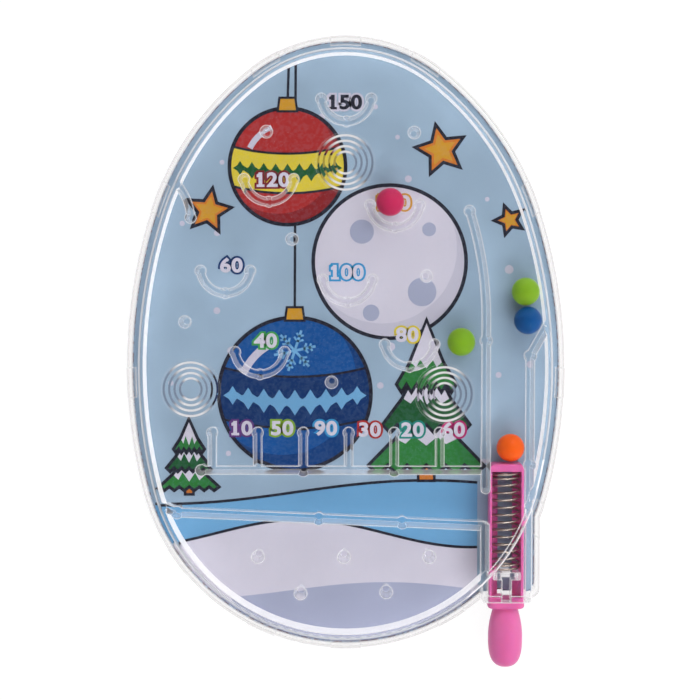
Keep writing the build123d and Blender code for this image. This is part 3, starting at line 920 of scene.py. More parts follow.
class Ink(Enum):
    """The inks on the card."""

    SKY = (157, 180, 200)
    FROST = (201, 197, 212)
    SNOW = (214, 209, 222)
    SHADE = (168, 172, 196)
    ICE = (112, 168, 210)
    DEEP = (24, 82, 150)
    NAVY = (20, 52, 104)
    RED = (172, 48, 46)
    WINE = (128, 36, 42)
    YELLOW = (222, 200, 62)
    AMBER = (205, 150, 45)
    CARROT = (206, 120, 44)
    GREEN = (48, 124, 58)
    MOSS = (32, 88, 48)
    LINE = (36, 34, 46)
    PURPLE = (98, 54, 122)
    LIME = (134, 172, 40)
    SKYLINE = (56, 150, 204)
    TEAL = (34, 138, 126)
    MAGENTA = (190, 44, 112)
    LEAF = (70, 160, 78)
    EDGE = (96, 62, 72)
    MAROON = (140, 38, 40)
    INDIGO = (18, 62, 122)

    def finish(self) -> PrintFinish:
        """Give the look of this ink.

        Returns:
            Its finish.
        """
        mottle = 0.6 if self is Ink.SKY else 0.2
        wear = 0.9 if self is Ink.EDGE else 0.05
        name = f"print_{self.name.lower()}"
        return PrintFinish(name, from_display(*self.value), mottle, wear=wear)


def in_scene(name: str, data: bpy.types.ID) -> Piece:
    """Put an object in the scene.

    Args:
        name: The object's name.
        data: Its mesh, curve, lamp or camera.

    Returns:
        The object.
    """
    piece = bpy.data.objects.new(name, data)
    bpy.context.scene.collection.objects.link(piece)
    return piece


def taken_mesh(holder: Piece) -> MeshData:
    """Take the mesh that an object shows, and remove the object.

    Args:
        holder: The object, in the scene.

    Returns:
        The mesh.
    """
    bpy.context.view_layer.update()
    seen = holder.evaluated_get(bpy.context.evaluated_depsgraph_get())
    mesh = bpy.data.meshes.new_from_object(seen)
    bpy.data.objects.remove(holder)
    return mesh


def stored_mesh(name: str, mesh: bmesh.types.BMesh) -> MeshData:
    """Store a built mesh and free what it was built in.

    Args:
        name: The mesh's name.
        mesh: The built mesh.

    Returns:
        The stored mesh.
    """
    data = bpy.data.meshes.new(name)
    mesh.to_mesh(data)
    mesh.free()
    return data


def body_object(name: str, mesh: MeshData, material: Material, body: str) -> Piece:
    """Put a finished mesh in the scene and let it ride on a body.

    Args:
        name: The piece's name.
        mesh: Its mesh, in metres.
        material: Its finish.
        body: The body that it moves with.

    Returns:
        The piece.
    """
    mesh.materials.clear()
    mesh.materials.append(material)
    piece = in_scene(name, mesh)
    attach(piece, body)
    log.info("piece %s rides on %s, %d faces", name, body, len(mesh.polygons))
    return piece


# The printed card


class PrintSheet:
    """Flat figures laid on the card in order, each a thin closed slab of ink."""

    layer_step: float = 0.004
    layer_depth: float = 0.0035
    layer_gap: float = 0.0005

    def __init__(self, card_top: float) -> None:
        """Start an empty sheet on the card's face, whose height is in metres."""
        self.card_top = card_top
        self.meshes: dict[Ink, bmesh.types.BMesh] = defaultdict(bmesh.new)

    def lay(self, ink: Ink, level: int, loops: list[Loop]) -> None:
        """Print one figure.

        Args:
            ink: Its ink.
            level: How many layers lie under it.
            loops: Its outline and the outlines of its holes.
        """
        mesh = self.meshes[ink]
        high = self.card_top + (level * self.layer_step + self.layer_depth) * MM
        low = self.card_top + (level * self.layer_step + self.layer_gap) * MM
        flat = [[Vector((x, y, 0)) for x, y in loop] for loop in loops]
        top, bottom = (
            [mesh.verts.new((p.x * MM, p.y * MM, height)) for loop in flat for p in loop]
            for height in (high, low)
        )
        for corners in tessellate_polygon(flat):
            mesh.faces.new([top[index] for index in corners])
            mesh.faces.new([bottom[index] for index in reversed(corners)])
        start = 0
        for loop in flat:
            count = len(loop)
            for index in range(count):
                here = start + index
                there = start + (index + 1) % count
                mesh.faces.new((top[here], top[there], bottom[there], bottom[here]))
            start += count

    def outline(self, level: int, loop: Loop, width: float = 0.8, closed: bool = True) -> None:
        """Draw the dark line round a figure."""
        self.lay(Ink.LINE, level, ribbon(loop, width, closed))

    def finish(self, effects: Effects) -> None:
        """Turn every ink's figures into one piece.

        Args:
            effects: The shared groups.
        """
        for ink, mesh in self.meshes.items():
            bmesh.ops.recalc_face_normals(mesh, faces=mesh.faces)
            data = stored_mesh(f"print_{ink.name.lower()}", mesh)
            body_object(data.name, data, ink.finish().material(effects), "case")


@dataclass
class Bauble:
    """A hanging glass ball with a band, a cap and a thread."""

    x: float
    y: float
    radius: float
    body: Ink
    band: Ink
    trim: Ink
    shade: Ink
    band_half: float = 0.34
    sag: float = 0.12
    shine_reach: float = 0.72
    cap_half: Point = (2.1, 1.7)
    cap_span: Point = (-0.7, 2.2)
    trims: int = 9
    trim_reach: float = 0.92
    trim_size: float = 0.17
    trim_shrink: float = 0.6

    def draw(self, sheet: PrintSheet, level: int) -> None:
        """Print the bauble.

        Args:
            sheet: The card's print.
            level: The lowest layer to use.
        """
        x, y, radius = self.x, self.y, self.radius
        thread = [(x, y + radius), (x + 0.3, EGG.high_edge(x, 3.5))]
        sheet.outline(level, thread, 0.55, False)
        sheet.lay(self.body, level + 1, [circle(x, y, radius)])
        wide = radius * self.band_half
        sag = radius * self.sag
        sheet.lay(self.band, level + 3, [ball_band(x, y, radius, -wide, wide, sag)])
        sheet.lay(self.shade, level + 2, [crescent(x, y, radius, 0.24, 135)])
        for step in range(self.trims):
            share = (step + 0.5) / self.trims * 2 - 1
            size = radius * self.trim_size * math.sqrt(1 - self.trim_shrink * share**2)
            across, up = x + share * radius * self.trim_reach, y - sag * (1 - share**2)
            trim = star(across, up, size, size * 0.55, 0, 4)
            sheet.lay(self.trim, level + 4 + step % 2, [trim])
        shine = arc(x, y, radius * self.shine_reach, math.radians(112), math.radians(42), 7)
        sheet.lay(Ink.FROST, level + 4, ribbon(shine, radius * 0.1))
        for edge in (-wide, wide):
            sheet.outline(level + 6, bowed_line(x, y, radius, edge, sag, 14), 0.5, False)
        sheet.outline(level + 7, circle(x, y, radius))
        low, high = (y + radius + rise for rise in self.cap_span)
        foot, top = self.cap_half
        cap = [(x - foot, low), (x + foot, low), (x + top, high), (x - top, high)]
        sheet.lay(Ink.AMBER, level + 8, [cap])
        sheet.outline(level + 9, cap, 0.5)


@dataclass
class FirTree:
    """A snowed fir tree of three tiers."""

    x: float
    foot: float
    height: float
    width: float
    lowest_tier: float = 0.1
    tier_step: float = 0.25
    tier_rise: float = 0.46
    tip_rise: float = 0.4
    narrowing: float = 0.24
    waist: float = 0.55
    waist_rise: float = 0.36
    scallops: int = 6
    scallop_depth: float = 0.05
    trunk_half: float = 0.07
    trunk_rise: float = 0.14

    def spread(self, index: int) -> Place:
        """Measure one tier.

        Args:
            index: Which tier, from the lowest up.

        Returns:
            Its lower edge, its tip and half its width.
        """
        low = self.foot + self.height * (self.lowest_tier + self.tier_step * index)
        high = low + self.height * (self.tier_rise if index < 2 else self.tip_rise)
        return low, high, self.width / 2 * (1 - self.narrowing * index)

    def tier(self, index: int) -> Loop:
        """Outline of one tier.

        Args:
            index: Which tier, from the lowest up.

        Returns:
            The loop.
        """
        low, high, half = self.spread(index)
        waist = low + (high - low) * self.waist_rise
        loop = [(self.x, high), (self.x + half * self.waist, waist), (self.x + half, low)]
        for step in range(1, 2 * self.scallops):
            across = half - half * step / self.scallops
            dip = -self.scallop_depth * self.height if step % 2 else 0.0
            loop.append((self.x + across, low + dip))
        return [*loop, (self.x - half, low), (self.x - half * self.waist, waist)]

    def snow(self, index: int) -> Loop:
        """Outline of the snow on one tier.

        Args:
            index: Which tier, from the lowest up.

        Returns:
            The loop.
        """
        low, high, half = self.spread(index)
        waist = low + (high - low) * self.waist_rise
        hem = ((self.waist, 0.0), (0.34, -1.3), (0.2, 0.4), (0.0, -1.6))
        hem += ((-0.22, 0.5), (-0.36, -1.2), (-self.waist, 0.0))
        return [(self.x, high), *((self.x + half * share, waist + rise) for share, rise in hem)]

    def draw(self, sheet: PrintSheet, level: int) -> None:
        """Print the tree.

        Args:
            sheet: The card's print.
            level: The lowest layer to use.
        """
        half = self.width * self.trunk_half
        left, right = self.x - half, self.x + half
        top = self.foot + self.height * self.trunk_rise
        trunk = [(left, self.foot), (right, self.foot), (right, top), (left, top)]
        sheet.lay(Ink.CARROT, level, [trunk])
        sheet.outline(level + 1, trunk, 0.6)
        for index in range(3):
            base = level + 2 + 3 * index
            sheet.lay(Ink.GREEN if index % 2 == 0 else Ink.MOSS, base, [self.tier(index)])
            sheet.lay(Ink.SNOW, base + 1, [self.snow(index)])
            sheet.outline(base + 2, self.tier(index), 0.7)


@dataclass
class SnowBank:
    """A bank of snow along the foot of the card."""

    ink: Ink
    level: int
    crest: float
    swing: float
    waves: float
    phase: float
    left: float = -43.0
    right: float = 28.6
    outlined: bool = True
    inset: float = 1.25
    least: float = 0.1
    steps: int = 90

    def height(self, x: float) -> float:
        """Height of the crest at a distance from the centre line."""
        return self.crest + self.swing * math.sin(self.waves * x / 40 + self.phase)

    def draw(self, sheet: PrintSheet) -> None:
        """Print the bank.

        Args:
            sheet: The card's print.
        """
        run = self.right - self.left
        places = [self.left + run * step / self.steps for step in range(self.steps + 1)]
        edge = [(x, EGG.low_edge(x, self.inset)) for x in places]
        bottom = [(x, low) for x, low in edge if self.height(x) > low + self.least]
        top = [(x, self.height(x)) for x, _ in bottom]
        sheet.lay(self.ink, self.level, [top + bottom[::-1]])
        if self.outlined:
            sheet.outline(self.level + 1, top, 0.6, False)


@dataclass
class Snowflake:
    """A six-armed snow crystal."""

    x: float
    y: float
    radius: float
    width: float
    ink: Ink
    tilt: float = 12
    forks: Point = (0.45, 0.7)
    fork_turn: float = 55

    def draw(self, sheet: PrintSheet, level: int) -> None:
        """Print the crystal.

        Args:
            sheet: The card's print.
            level: The layer to use.
        """
        for arm in range(6):
            turn = math.radians(60 * arm + self.tilt)
            tip = polar(self.x, self.y, self.radius, turn)
            sheet.lay(self.ink, level + arm % 3, ribbon([(self.x, self.y), tip], self.width))
            for share in self.forks:
                root = polar(self.x, self.y, self.radius * share, turn)
                reach = self.radius * (0.42 - 0.3 * share)
                for side in (-1, 1):
                    end = polar(*root, reach, turn + side * math.radians(self.fork_turn))
                    sheet.lay(self.ink, level + arm % 3, ribbon([root, end], self.width * 0.8))


@dataclass
class ScoreNumber:
    """A printed score: pale figures with a coloured edge."""

    text: str
    x: float
    y: float
    edge: Ink
    fill: Ink = Ink.SNOW
    height: float = 3.15
    stretch: float = 1.13
    type_size: float = 1.32
    spacing: float = 1.08
    edge_swell: float = 0.56
    fill_swell: float = 0.15
    stem: float = 0.45
    serif: float = 0.42
    serif_depth: float = 0.24
    serif_inset: float = 0.04
    flag_drop: float = 0.5
    flag_tip: float = 0.3

    def outlines(self, swell: float) -> MeshData:
        """Make the figures as a thin closed mesh.

        Args:
            swell: How far the strokes are widened.

        Returns:
            The mesh, standing at the origin.
        """
        curve = bpy.data.curves.new("score_figures", "FONT")
        curve.body = self.text
        curve.align_x = "CENTER"
        curve.align_y = "CENTER"
        curve.size = self.height * self.type_size * MM
        curve.space_character = self.spacing
        curve.offset = swell * MM
        curve.extrude = 0.001 * MM
        curve.resolution_u = 6
        mesh = taken_mesh(in_scene("score_figures", curve))
        bpy.data.curves.remove(curve)
        return mesh

    def serifs(self, figures: MeshData, swell: float) -> list[Loop]:
        """Outline the flag and the foot of a leading one.

        Args:
            figures: The placed figures.
            swell: How far the strokes are widened.

        Returns:
            The two loops.
        """
        left = min(vertex.co.x for vertex in figures.vertices) / MM
        low = min(vertex.co.y for vertex in figures.vertices) / MM + self.serif_inset
        high = max(vertex.co.y for vertex in figures.vertices) / MM - self.serif_inset
        right = left + (self.stem + 2 * swell) * self.stretch + self.serif
        thick = self.serif_depth + 2 * swell
        start = left - self.serif
        foot = [(start, low), (right, low), (right, low + thick), (start, low + thick)]
        drop = high - self.flag_drop
        tip = left + self.flag_tip
        flag = [(tip, high), (start, drop), (start, drop - thick), (tip, drop - thick)]
        return [foot, flag]

    def draw(self, sheet: PrintSheet, level: int) -> None:
        """Print the score.

        Args:
            sheet: The card's print.
            level: The lowest layer to use.
        """
        coats = (self.edge, self.edge_swell, level), (self.fill, self.fill_swell, level + 1)
        for ink, swell, layer in coats:
            figures = self.outlines(swell)
            high = sheet.card_top + (layer + 0.5) * sheet.layer_step * MM
            for vertex in figures.vertices:
                vertex.co.x = vertex.co.x * self.stretch + self.x * MM
                vertex.co.y += self.y * MM
                vertex.co.z += high
            sheet.meshes[ink].from_mesh(figures)
            if self.text.startswith("1"):
                for loop in self.serifs(figures, swell):
                    sheet.lay(ink, layer, [loop])
            bpy.data.meshes.remove(figures)


@dataclass
class PrintedCard:
    """The card in the tray and its winter picture."""

    dots: int = 34
    dot_field: tuple[tuple[int, int], tuple[int, int]] = ((-43, 43), (-20, 68))
    dot_gap: float = 7
    dot_inset: float = 6
    dot_sizes: Point = (0.45, 0.95)
    seed: int = 11
    edge_inset: float = 0.16
    edge_width: float = 0.24
    edge_level: int = 20
    score_level: int = 16
    moon: Place = (9.5, 23.0, 16.5)
    craters: tuple[Place, ...] = (
        (3.5, 29.5, 2.6),
        (16.5, 16.5, 3.1),
        (5.5, 12.0, 1.8),
        (18.0, 30.0, 1.5),
    )
    stars: tuple[tuple[float, float, float, int], ...] = (
        (20.5, 47.0, 5.6, 12),
        (-29.5, 34.0, 5.0, -10),
        (35.3, 32.0, 3.3, 20),
    )
    scores: tuple[ScoreNumber, ...] = (
        ScoreNumber("150", -0.2, 57.1, Ink.FROST, Ink.LINE),
        ScoreNumber("120", -15.8, 40.5, Ink.WINE),
        ScoreNumber("110", 10.2, 35.6, Ink.AMBER),
        ScoreNumber("60", -24.7, 22.1, Ink.NAVY),
        ScoreNumber("100", 0.2, 20.6, Ink.SKYLINE),
        ScoreNumber("40", -17.3, 5.8, Ink.LEAF),
        ScoreNumber("80", 13.3, 7.1, Ink.YELLOW),
        ScoreNumber("10", -22.7, -13.2, Ink.PURPLE),
        ScoreNumber("50", -13.8, -13.2, Ink.LIME),
        ScoreNumber("90", -4.3, -13.2, Ink.SKYLINE),
        ScoreNumber("30", 5.2, -13.5, Ink.RED),
        ScoreNumber("20", 14.5, -13.5, Ink.TEAL),
        ScoreNumber("60", 23.4, -13.5, Ink.MAGENTA),
    )

    def snow_dots(self, sheet: PrintSheet) -> None:
        """Print falling snow as loose dots.

        Args:
            sheet: The card's print.
        """
        chance = random.Random(self.seed)
        placed: Loop = []
        while len(placed) < self.dots:
            x, y = (chance.uniform(*span) for span in self.dot_field)
            apart = all(math.hypot(x - a, y - b) > self.dot_gap for a, b in placed)
            if apart and EGG.holds(x, y, self.dot_inset):
                placed.append((x, y))
                sheet.lay(Ink.FROST, 0, [circle(x, y, chance.uniform(*self.dot_sizes), 24)])

    def edge_line(self, sheet: PrintSheet, card: Piece) -> None:
        """Print the thin worn line where the card was cut.

        Args:
            sheet: The card's print.
            card: The card's solid.
        """
        mesh = bmesh.new()
        mesh.from_mesh(card.data)
        bmesh.ops.remove_doubles(mesh, verts=mesh.verts, dist=SEAM_GAP)
        mesh.normal_update()
        top = [face for face in mesh.faces if face.normal.z > UPWARD]
        follows = {}
        for face in top:
            for loop in face.loops:
                if any(other not in top for other in loop.edge.link_faces):
                    follows[loop.vert] = loop.link_loop_next.vert
        here = start = next(iter(follows))
        line: Loop = []
        while not line or here != start:
            line.append((here.co.x / MM, here.co.y / MM))
            here = follows[here]
        mesh.free()
        middle = shifted(line, self.edge_inset, True)
        sheet.lay(Ink.EDGE, self.edge_level, ribbon(middle, self.edge_width, True))

    def dress(self, frame: dict, effects: Effects) -> None:
        """Finish the card and print its picture.

        Args:
            frame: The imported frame.
            effects: The shared groups.
        """
        give_finish(frame, ("printed_card",), Ink.SKY.finish().material(effects))
        sheet = PrintSheet(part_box("printed_card")[1].z)
        self.snow_dots(sheet)
        SnowBank(Ink.ICE, 1, -27.0, 2.6, 2.2, 0.6).draw(sheet)
        SnowBank(Ink.SNOW, 3, -36.0, 3.0, 3.4, 2.4).draw(sheet)
        SnowBank(Ink.SHADE, 5, -48.5, 1.8, 3.0, 0.9, outlined=False).draw(sheet)
        sheet.lay(Ink.SNOW, 1, [circle(*self.moon)])
        sheet.lay(Ink.FROST, 2, [crescent(*self.moon, 0.2, 120)])
        for crater in self.craters:
            sheet.lay(Ink.SHADE, 3, [circle(*crater, 32)])
        sheet.outline(4, circle(*self.moon))
        FirTree(17.5, -24.5, 35.0, 25.0).draw(sheet, 5)
        FirTree(-34.0, -27.5, 16.5, 13.0).draw(sheet, 5)
        Bauble(-12.5, 43.5, 12.5, Ink.RED, Ink.YELLOW, Ink.MOSS, Ink.MAROON).draw(sheet, 5)
        Bauble(-11.0, -5.5, 16.5, Ink.DEEP, Ink.NAVY, Ink.ICE, Ink.INDIGO).draw(sheet, 5)
        Snowflake(-11.0, 3.8, 4.6, 0.55, Ink.ICE).draw(sheet, 9)
        for x, y, size, tilt in self.stars:
            shape = star(x, y, size, size * 0.48, tilt)
            sheet.lay(Ink.CARROT, 5, [shape])
            sheet.lay(Ink.AMBER, 6, [star(x, y, size * 0.62, size * 0.3, tilt)])
            sheet.outline(7, shape, 0.7)
        for score in self.scores:
            score.draw(sheet, self.score_level)
        self.edge_line(sheet, frame["nodes"]["printed_card"])
        sheet.finish(effects)


def give_finish(frame: dict, names: tuple[str, ...], material: Material) -> None:
    """Give carried solids a finish through their material slots.

    Args:
        frame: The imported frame.
        names: The nodes.
        material: The finish.
    """
    for name in names:
        node = frame["nodes"][name]
        if not node.material_slots:
            node.data.materials.append(material)
        for slot in node.material_slots:
            slot.material = material
        log.info("solid %s has finish %s", name, material.name)


# The clear case


class Zone(IntEnum):
    """The parts of the cover's moulding that differ in finish."""

    FIELD = 0
    WALL = 1
    RING = 2
    BRIM = 3
    STOP = 4


@dataclass
class ClearCase:
    """The tray under the card and the cover with its moulded field."""

    tray: tuple[str, ...] = ("base_tray",)
    shell: str = "cover_top"
    field_solids: tuple[str, ...] = (
        "cover_wall",
        "launch_lane_wall",
        "lane_guard",
        "scoring_rack",
        "return_wall",
        "deflector",
        "cup_150",
        "cup_120",
        "cup_110",
        "cup_60",
        "cup_100",
        "cup_40",
        "cup_80",
        "field_pins",
        "support_posts",
        "spring_stop",
    )
    flat_limit: float = 0.999
    sharp_angle: float = 32.0
    foot_lift: float = 0.09
    discs: tuple[Point, ...] = ((0.0, 44.0), (-32.9, -4.0), (21.1, -5.0))
    ring_reach: float = 6.2
    pad_reach: float = 6.5
    pad_levels: Point = (8.1, 8.3)
    pad_top: float = 8.58
    stop_low: Place = (31.5, -45.1, 1.5)
    stop_high: Place = (37.6, -43.3, 8.5)
    wall_insets: Point = (3.9, 4.3)
    wall_lean: float = 0.3
    ring_lean: float = 0.5
    brim_lean: Point = (0.03, 0.99)
    upper_faces: float = 8.9
    crossing: Point = (26.0, -20.0)

    def loose_copy(self, node: Piece) -> Piece:
        """Copy one solid so that it can be joined.

        Args:
            node: The solid.

        Returns:
            The copy, its seams closed.
        """
        mesh = bmesh.new()
        mesh.from_mesh(node.data)
        mesh.transform(node.matrix_world)
        bmesh.ops.remove_doubles(mesh, verts=mesh.verts, dist=SEAM_GAP)
        data = stored_mesh(f"{node.name}_copy", mesh)
        return bpy.data.objects.new(data.name, data)

    def joined(self, frame: dict) -> MeshData:
        """Join the cover's solids into the single moulding that they are.

        Args:
            frame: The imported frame.

        Returns:
            The moulding's mesh.
        """
        copy = self.loose_copy(frame["nodes"][self.shell])
        parts = bpy.data.collections.new("field_copies")
        for name in self.field_solids:
            parts.objects.link(self.loose_copy(frame["nodes"][name]))
        bpy.context.scene.collection.objects.link(copy)
        join = copy.modifiers.new("join", "BOOLEAN")
        join.operation = "UNION"
        join.operand_type = "COLLECTION"
        join.collection = parts
        join.solver = "EXACT"
        mesh = taken_mesh(copy)
        mesh.name = "cover_moulding"
        mesh.attributes.remove(mesh.attributes["custom_normal"])
        for part in list(parts.objects):
            bpy.data.objects.remove(part)
        bpy.data.collections.remove(parts)
        return mesh

    def soften(self, mesh: MeshData) -> None:
        """Shade curved faces smooth and keep flat ones and sharp edges crisp.

        Args:
            mesh: The moulding's mesh.
        """
        mesh.set_sharp_from_angle(angle=math.radians(self.sharp_angle))
        for face in mesh.polygons:
            face.use_smooth = abs(face.normal.z) < self.flat_limit

    def lift_feet(self, mesh: MeshData, card_top: float) -> None:
        """Raise what stands on the card to just above its ink.

        Args:
            mesh: The moulding's mesh.
            card_top: Height of the card's face, in metres.
        """
        lowest = card_top + self.foot_lift * MM
        for vertex in mesh.vertices:
            if vertex.co.z < lowest:
                vertex.co.z = lowest

    def tighten_pads(self, mesh: MeshData) -> None:
        """Thin the pads under the sunk discs, so that only the rings show.

        Args:
            mesh: The moulding's mesh.
        """
        low, high = self.pad_levels
        for vertex in mesh.vertices:
            x, y, z = (value / MM for value in vertex.co)
            beside = any(math.hypot(x - a, y - b) < self.pad_reach for a, b in self.discs)
            if beside and low < z < high:
                vertex.co.z = self.pad_top * MM

    def zone(self, face: bpy.types.MeshPolygon) -> Zone:
        """Tell which part of the moulding a face belongs to.

        Args:
            face: The face.

        Returns:
            The part: the field, the dome's wall, the steps of the sunk discs, the dome's rounded
            brim or the spring stop.
        """
        x, y, z = (value / MM for value in face.center)
        lean = abs(face.normal.z)
        upper = z > self.upper_faces
        if any(math.hypot(x - a, y - b) < self.ring_reach for a, b in self.discs):
            return Zone.RING if upper and self.ring_lean < lean < self.flat_limit else Zone.FIELD
        outer, inner = self.wall_insets
        if lean < self.wall_lean and EGG.holds(x, y, outer) and not EGG.holds(x, y, inner):
            return Zone.WALL
        if upper and self.brim_lean[0] < lean < self.brim_lean[1]:
            crossed = x > self.crossing[0] and y < self.crossing[1]
            return Zone.WALL if crossed else Zone.BRIM
        spans = zip(self.stop_low, (x, y, z), self.stop_high)
        within = all(low < value < high for low, value, high in spans)
        return Zone.STOP if within else Zone.FIELD

    def dress(self, frame: dict, effects: Effects) -> None:
        """Finish the clear pieces.

        Args:
            frame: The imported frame.
            effects: The shared groups.
        """
        give_finish(frame, self.tray, TrayFinish("clear_tray").material(effects))
        mesh = self.joined(frame)
        self.lift_feet(mesh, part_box("printed_card")[1].z)
        self.tighten_pads(mesh)
        self.soften(mesh)
        finishes = {
            Zone.FIELD: ClearFinish("clear_cover"),
            # The dome's wall: strong painted sheen with a painted glow, for its white band
            Zone.WALL: ClearFinish("clear_wall", frost=1.0, painted_slant_sheen_fall=0.8, painted_sheen_glow=0.66),
            Zone.RING: RingFinish("clear_rings"),
            Zone.BRIM: BrimFinish("clear_brim"),
            Zone.STOP: StopFinish("clear_stop"),
        }
        first, *others = (finishes[zone].material(effects) for zone in Zone)
        moulding = body_object("cover_moulding", mesh, first, "case")
        for material in others:
            mesh.materials.append(material)
        for face in mesh.polygons:
            face.material_index = self.zone(face).value
        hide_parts(self.shell, *self.field_solids)


# Plunger, spring and balls


@dataclass
class WoundSpring:
    """The compression spring, wound from one wire between tip bar and stop."""

    joint: str = "plunger_pull"
    wire: float = 0.22
    steps_per_turn: int = 40
    end_turns: float = 1.5
    active_turns: float = 11.5
    end_pitch: float = 0.87
    seat: float = 0.35
    keep: float = 0.44

    def centre_line(self) -> list[Vector]:
        """Points along the wire.

        Returns:
            The points, in metres.
        """
        low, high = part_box("spring")
        radius = (high.x - low.x) / 2 - self.wire * MM
        x = (low.x + high.x) / 2
        z = (low.z + high.z) / 2
        seat = self.seat * MM
        length = high.y - low.y - 2 * seat
        pitch = (length - 2 * self.end_turns * self.end_pitch * MM) / self.active_turns
        turns = 2 * self.end_turns + self.active_turns
        points = []
        for step in range(round(turns * self.steps_per_turn) + 1):
            turn = step / self.steps_per_turn
            first = min(turn, self.end_turns)
            middle = min(max(turn - self.end_turns, 0), self.active_turns)
            last = max(turn - self.end_turns - self.active_turns, 0)
            y = high.y - seat - ((first + last) * self.end_pitch * MM + middle * pitch)
            angle = 2 * math.pi * turn
            points.append(Vector((x + radius * math.cos(angle), y, z + radius * math.sin(angle))))
        return points

    def dress(self, effects: Effects) -> Piece:
        """Build the spring.

        Args:
            effects: The shared groups.

        Returns:
            The spring.
        """
        curve = bpy.data.curves.new("spring_wire", "CURVE")
        curve.dimensions = "3D"
        curve.bevel_depth = self.wire * MM
        curve.bevel_resolution = 3
        curve.use_fill_caps = True
        points = self.centre_line()
        line = curve.splines.new("POLY")
        line.points.add(len(points) - 1)
        for point, place in zip(line.points, points):
            point.co = (*place, 1)
        mesh = taken_mesh(in_scene("spring_holder", curve))
        finish = WireFinish("spring_wire", from_display(168, 156, 146)).material(effects)
        piece = body_object("spring_coil", mesh, finish, "case")
        for face in mesh.polygons:
            face.use_smooth = True
        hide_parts("spring")
        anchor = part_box("spring")[0].y
        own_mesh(piece)
        return piece


@dataclass
class LooseBall:
    """One moulded ball with its parting line."""

    node: str
    slot: str
    colour: Colour
    tilt: Point
    radius: float = 3.0
    seam: float = 0.035
    around: int = 96
    sides: int = 6

    def parting_line(self) -> bmesh.types.BMesh:
        """Build the fine seam as a closed ring round the origin.

        Returns:
            The ring.
        """
        mesh = bmesh.new()
        rings = []
        for step in range(self.around):
            turn = 2 * math.pi * step / self.around
            ring = []
            for side in range(self.sides):
                lift = 2 * math.pi * side / self.sides
                reach = (self.radius + self.seam * math.cos(lift)) * MM
                rise = self.seam * 2 * math.sin(lift) * MM
                ring.append(mesh.verts.new((reach * math.cos(turn), reach * math.sin(turn), rise)))
            rings.append(ring)
        for here, there in zip(rings, rings[1:] + rings[:1]):
            for side in range(self.sides):
                after = (side + 1) % self.sides
                mesh.faces.new((here[side], there[side], there[after], here[after]))
        bmesh.ops.recalc_face_normals(mesh, faces=mesh.faces)
        return mesh

    def dress(self, frame: dict, effects: Effects) -> Piece:
        """Finish the ball and add its parting line.

        Args:
            frame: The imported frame.
            effects: The shared groups.

        Returns:
            The parting line.
        """
        look = {"roughness": 0.32, "glow": 0.2, "shine": 0.22}
        material = MouldedFinish(f"{self.node}_plastic", self.colour, **look).material(effects)
        give_finish(frame, (self.node,), material)
        low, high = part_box(self.node)
        data = stored_mesh(f"{self.node}_seam", self.parting_line())
        first, second = (math.radians(angle) for angle in self.tilt)
        tilted = Matrix.Rotation(second, 4, "Y") @ Matrix.Rotation(first, 4, "X")
        data.transform(Matrix.Translation((low + high) / 2) @ tilted)
        for face in data.polygons:
            face.use_smooth = True
        return body_object(f"{self.node}_seam", data, material, self.node)


@dataclass
class Mechanism:
    """The pink plunger, its spring and the loose balls."""

    plunger_colour: Colour = from_display(228, 108, 172)
    balls: tuple[LooseBall, ...] = (
        LooseBall("ball_pink", "ball_pink", from_display(200, 40, 90), (62, 18)),
        LooseBall("ball_green", "ball_green", from_display(130, 176, 32), (70, -25)),
        LooseBall("ball_lime", "ball_green", from_display(130, 176, 32), (80, 40)),
        LooseBall("ball_blue", "ball_blue", from_display(0, 78, 142), (75, -32)),
        LooseBall("ball_orange", "ball_orange", from_display(255, 98, 10), (84, 8)),
    )

    def dress(self, frame: dict, effects: Effects) -> tuple[list[Piece], Piece]:
        """Finish the moving pieces.

        Args:
            frame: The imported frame.
            effects: The shared groups.

        Returns:
            The coloured pieces and the spring.
        """
        pink = MouldedFinish("plunger_pink", self.plunger_colour, roughness=0.38, glow=0.25)
        give_finish(frame, ("plunger",), pink.material(effects))
        spring = WoundSpring().dress(effects)
        pieces = [frame["nodes"]["plunger"]]
        for ball in self.balls:
            pieces += [frame["nodes"][ball.node], ball.dress(frame, effects)]
        return pieces, spring


# Studio


class Aim(Enum):
    """The lamps round the table."""

    CROWN_SIDE = (0.35, 0.6, 0.54)
    FOOT_SIDE = (0.35, -0.6, 0.54)
    LEFT_SIDE = (-0.45, 0.0, 0.45)
    RIGHT_SIDE = (0.62, 0.0, 0.3)
    OVER_SPRING = (-0.06, 0.0, 0.8)


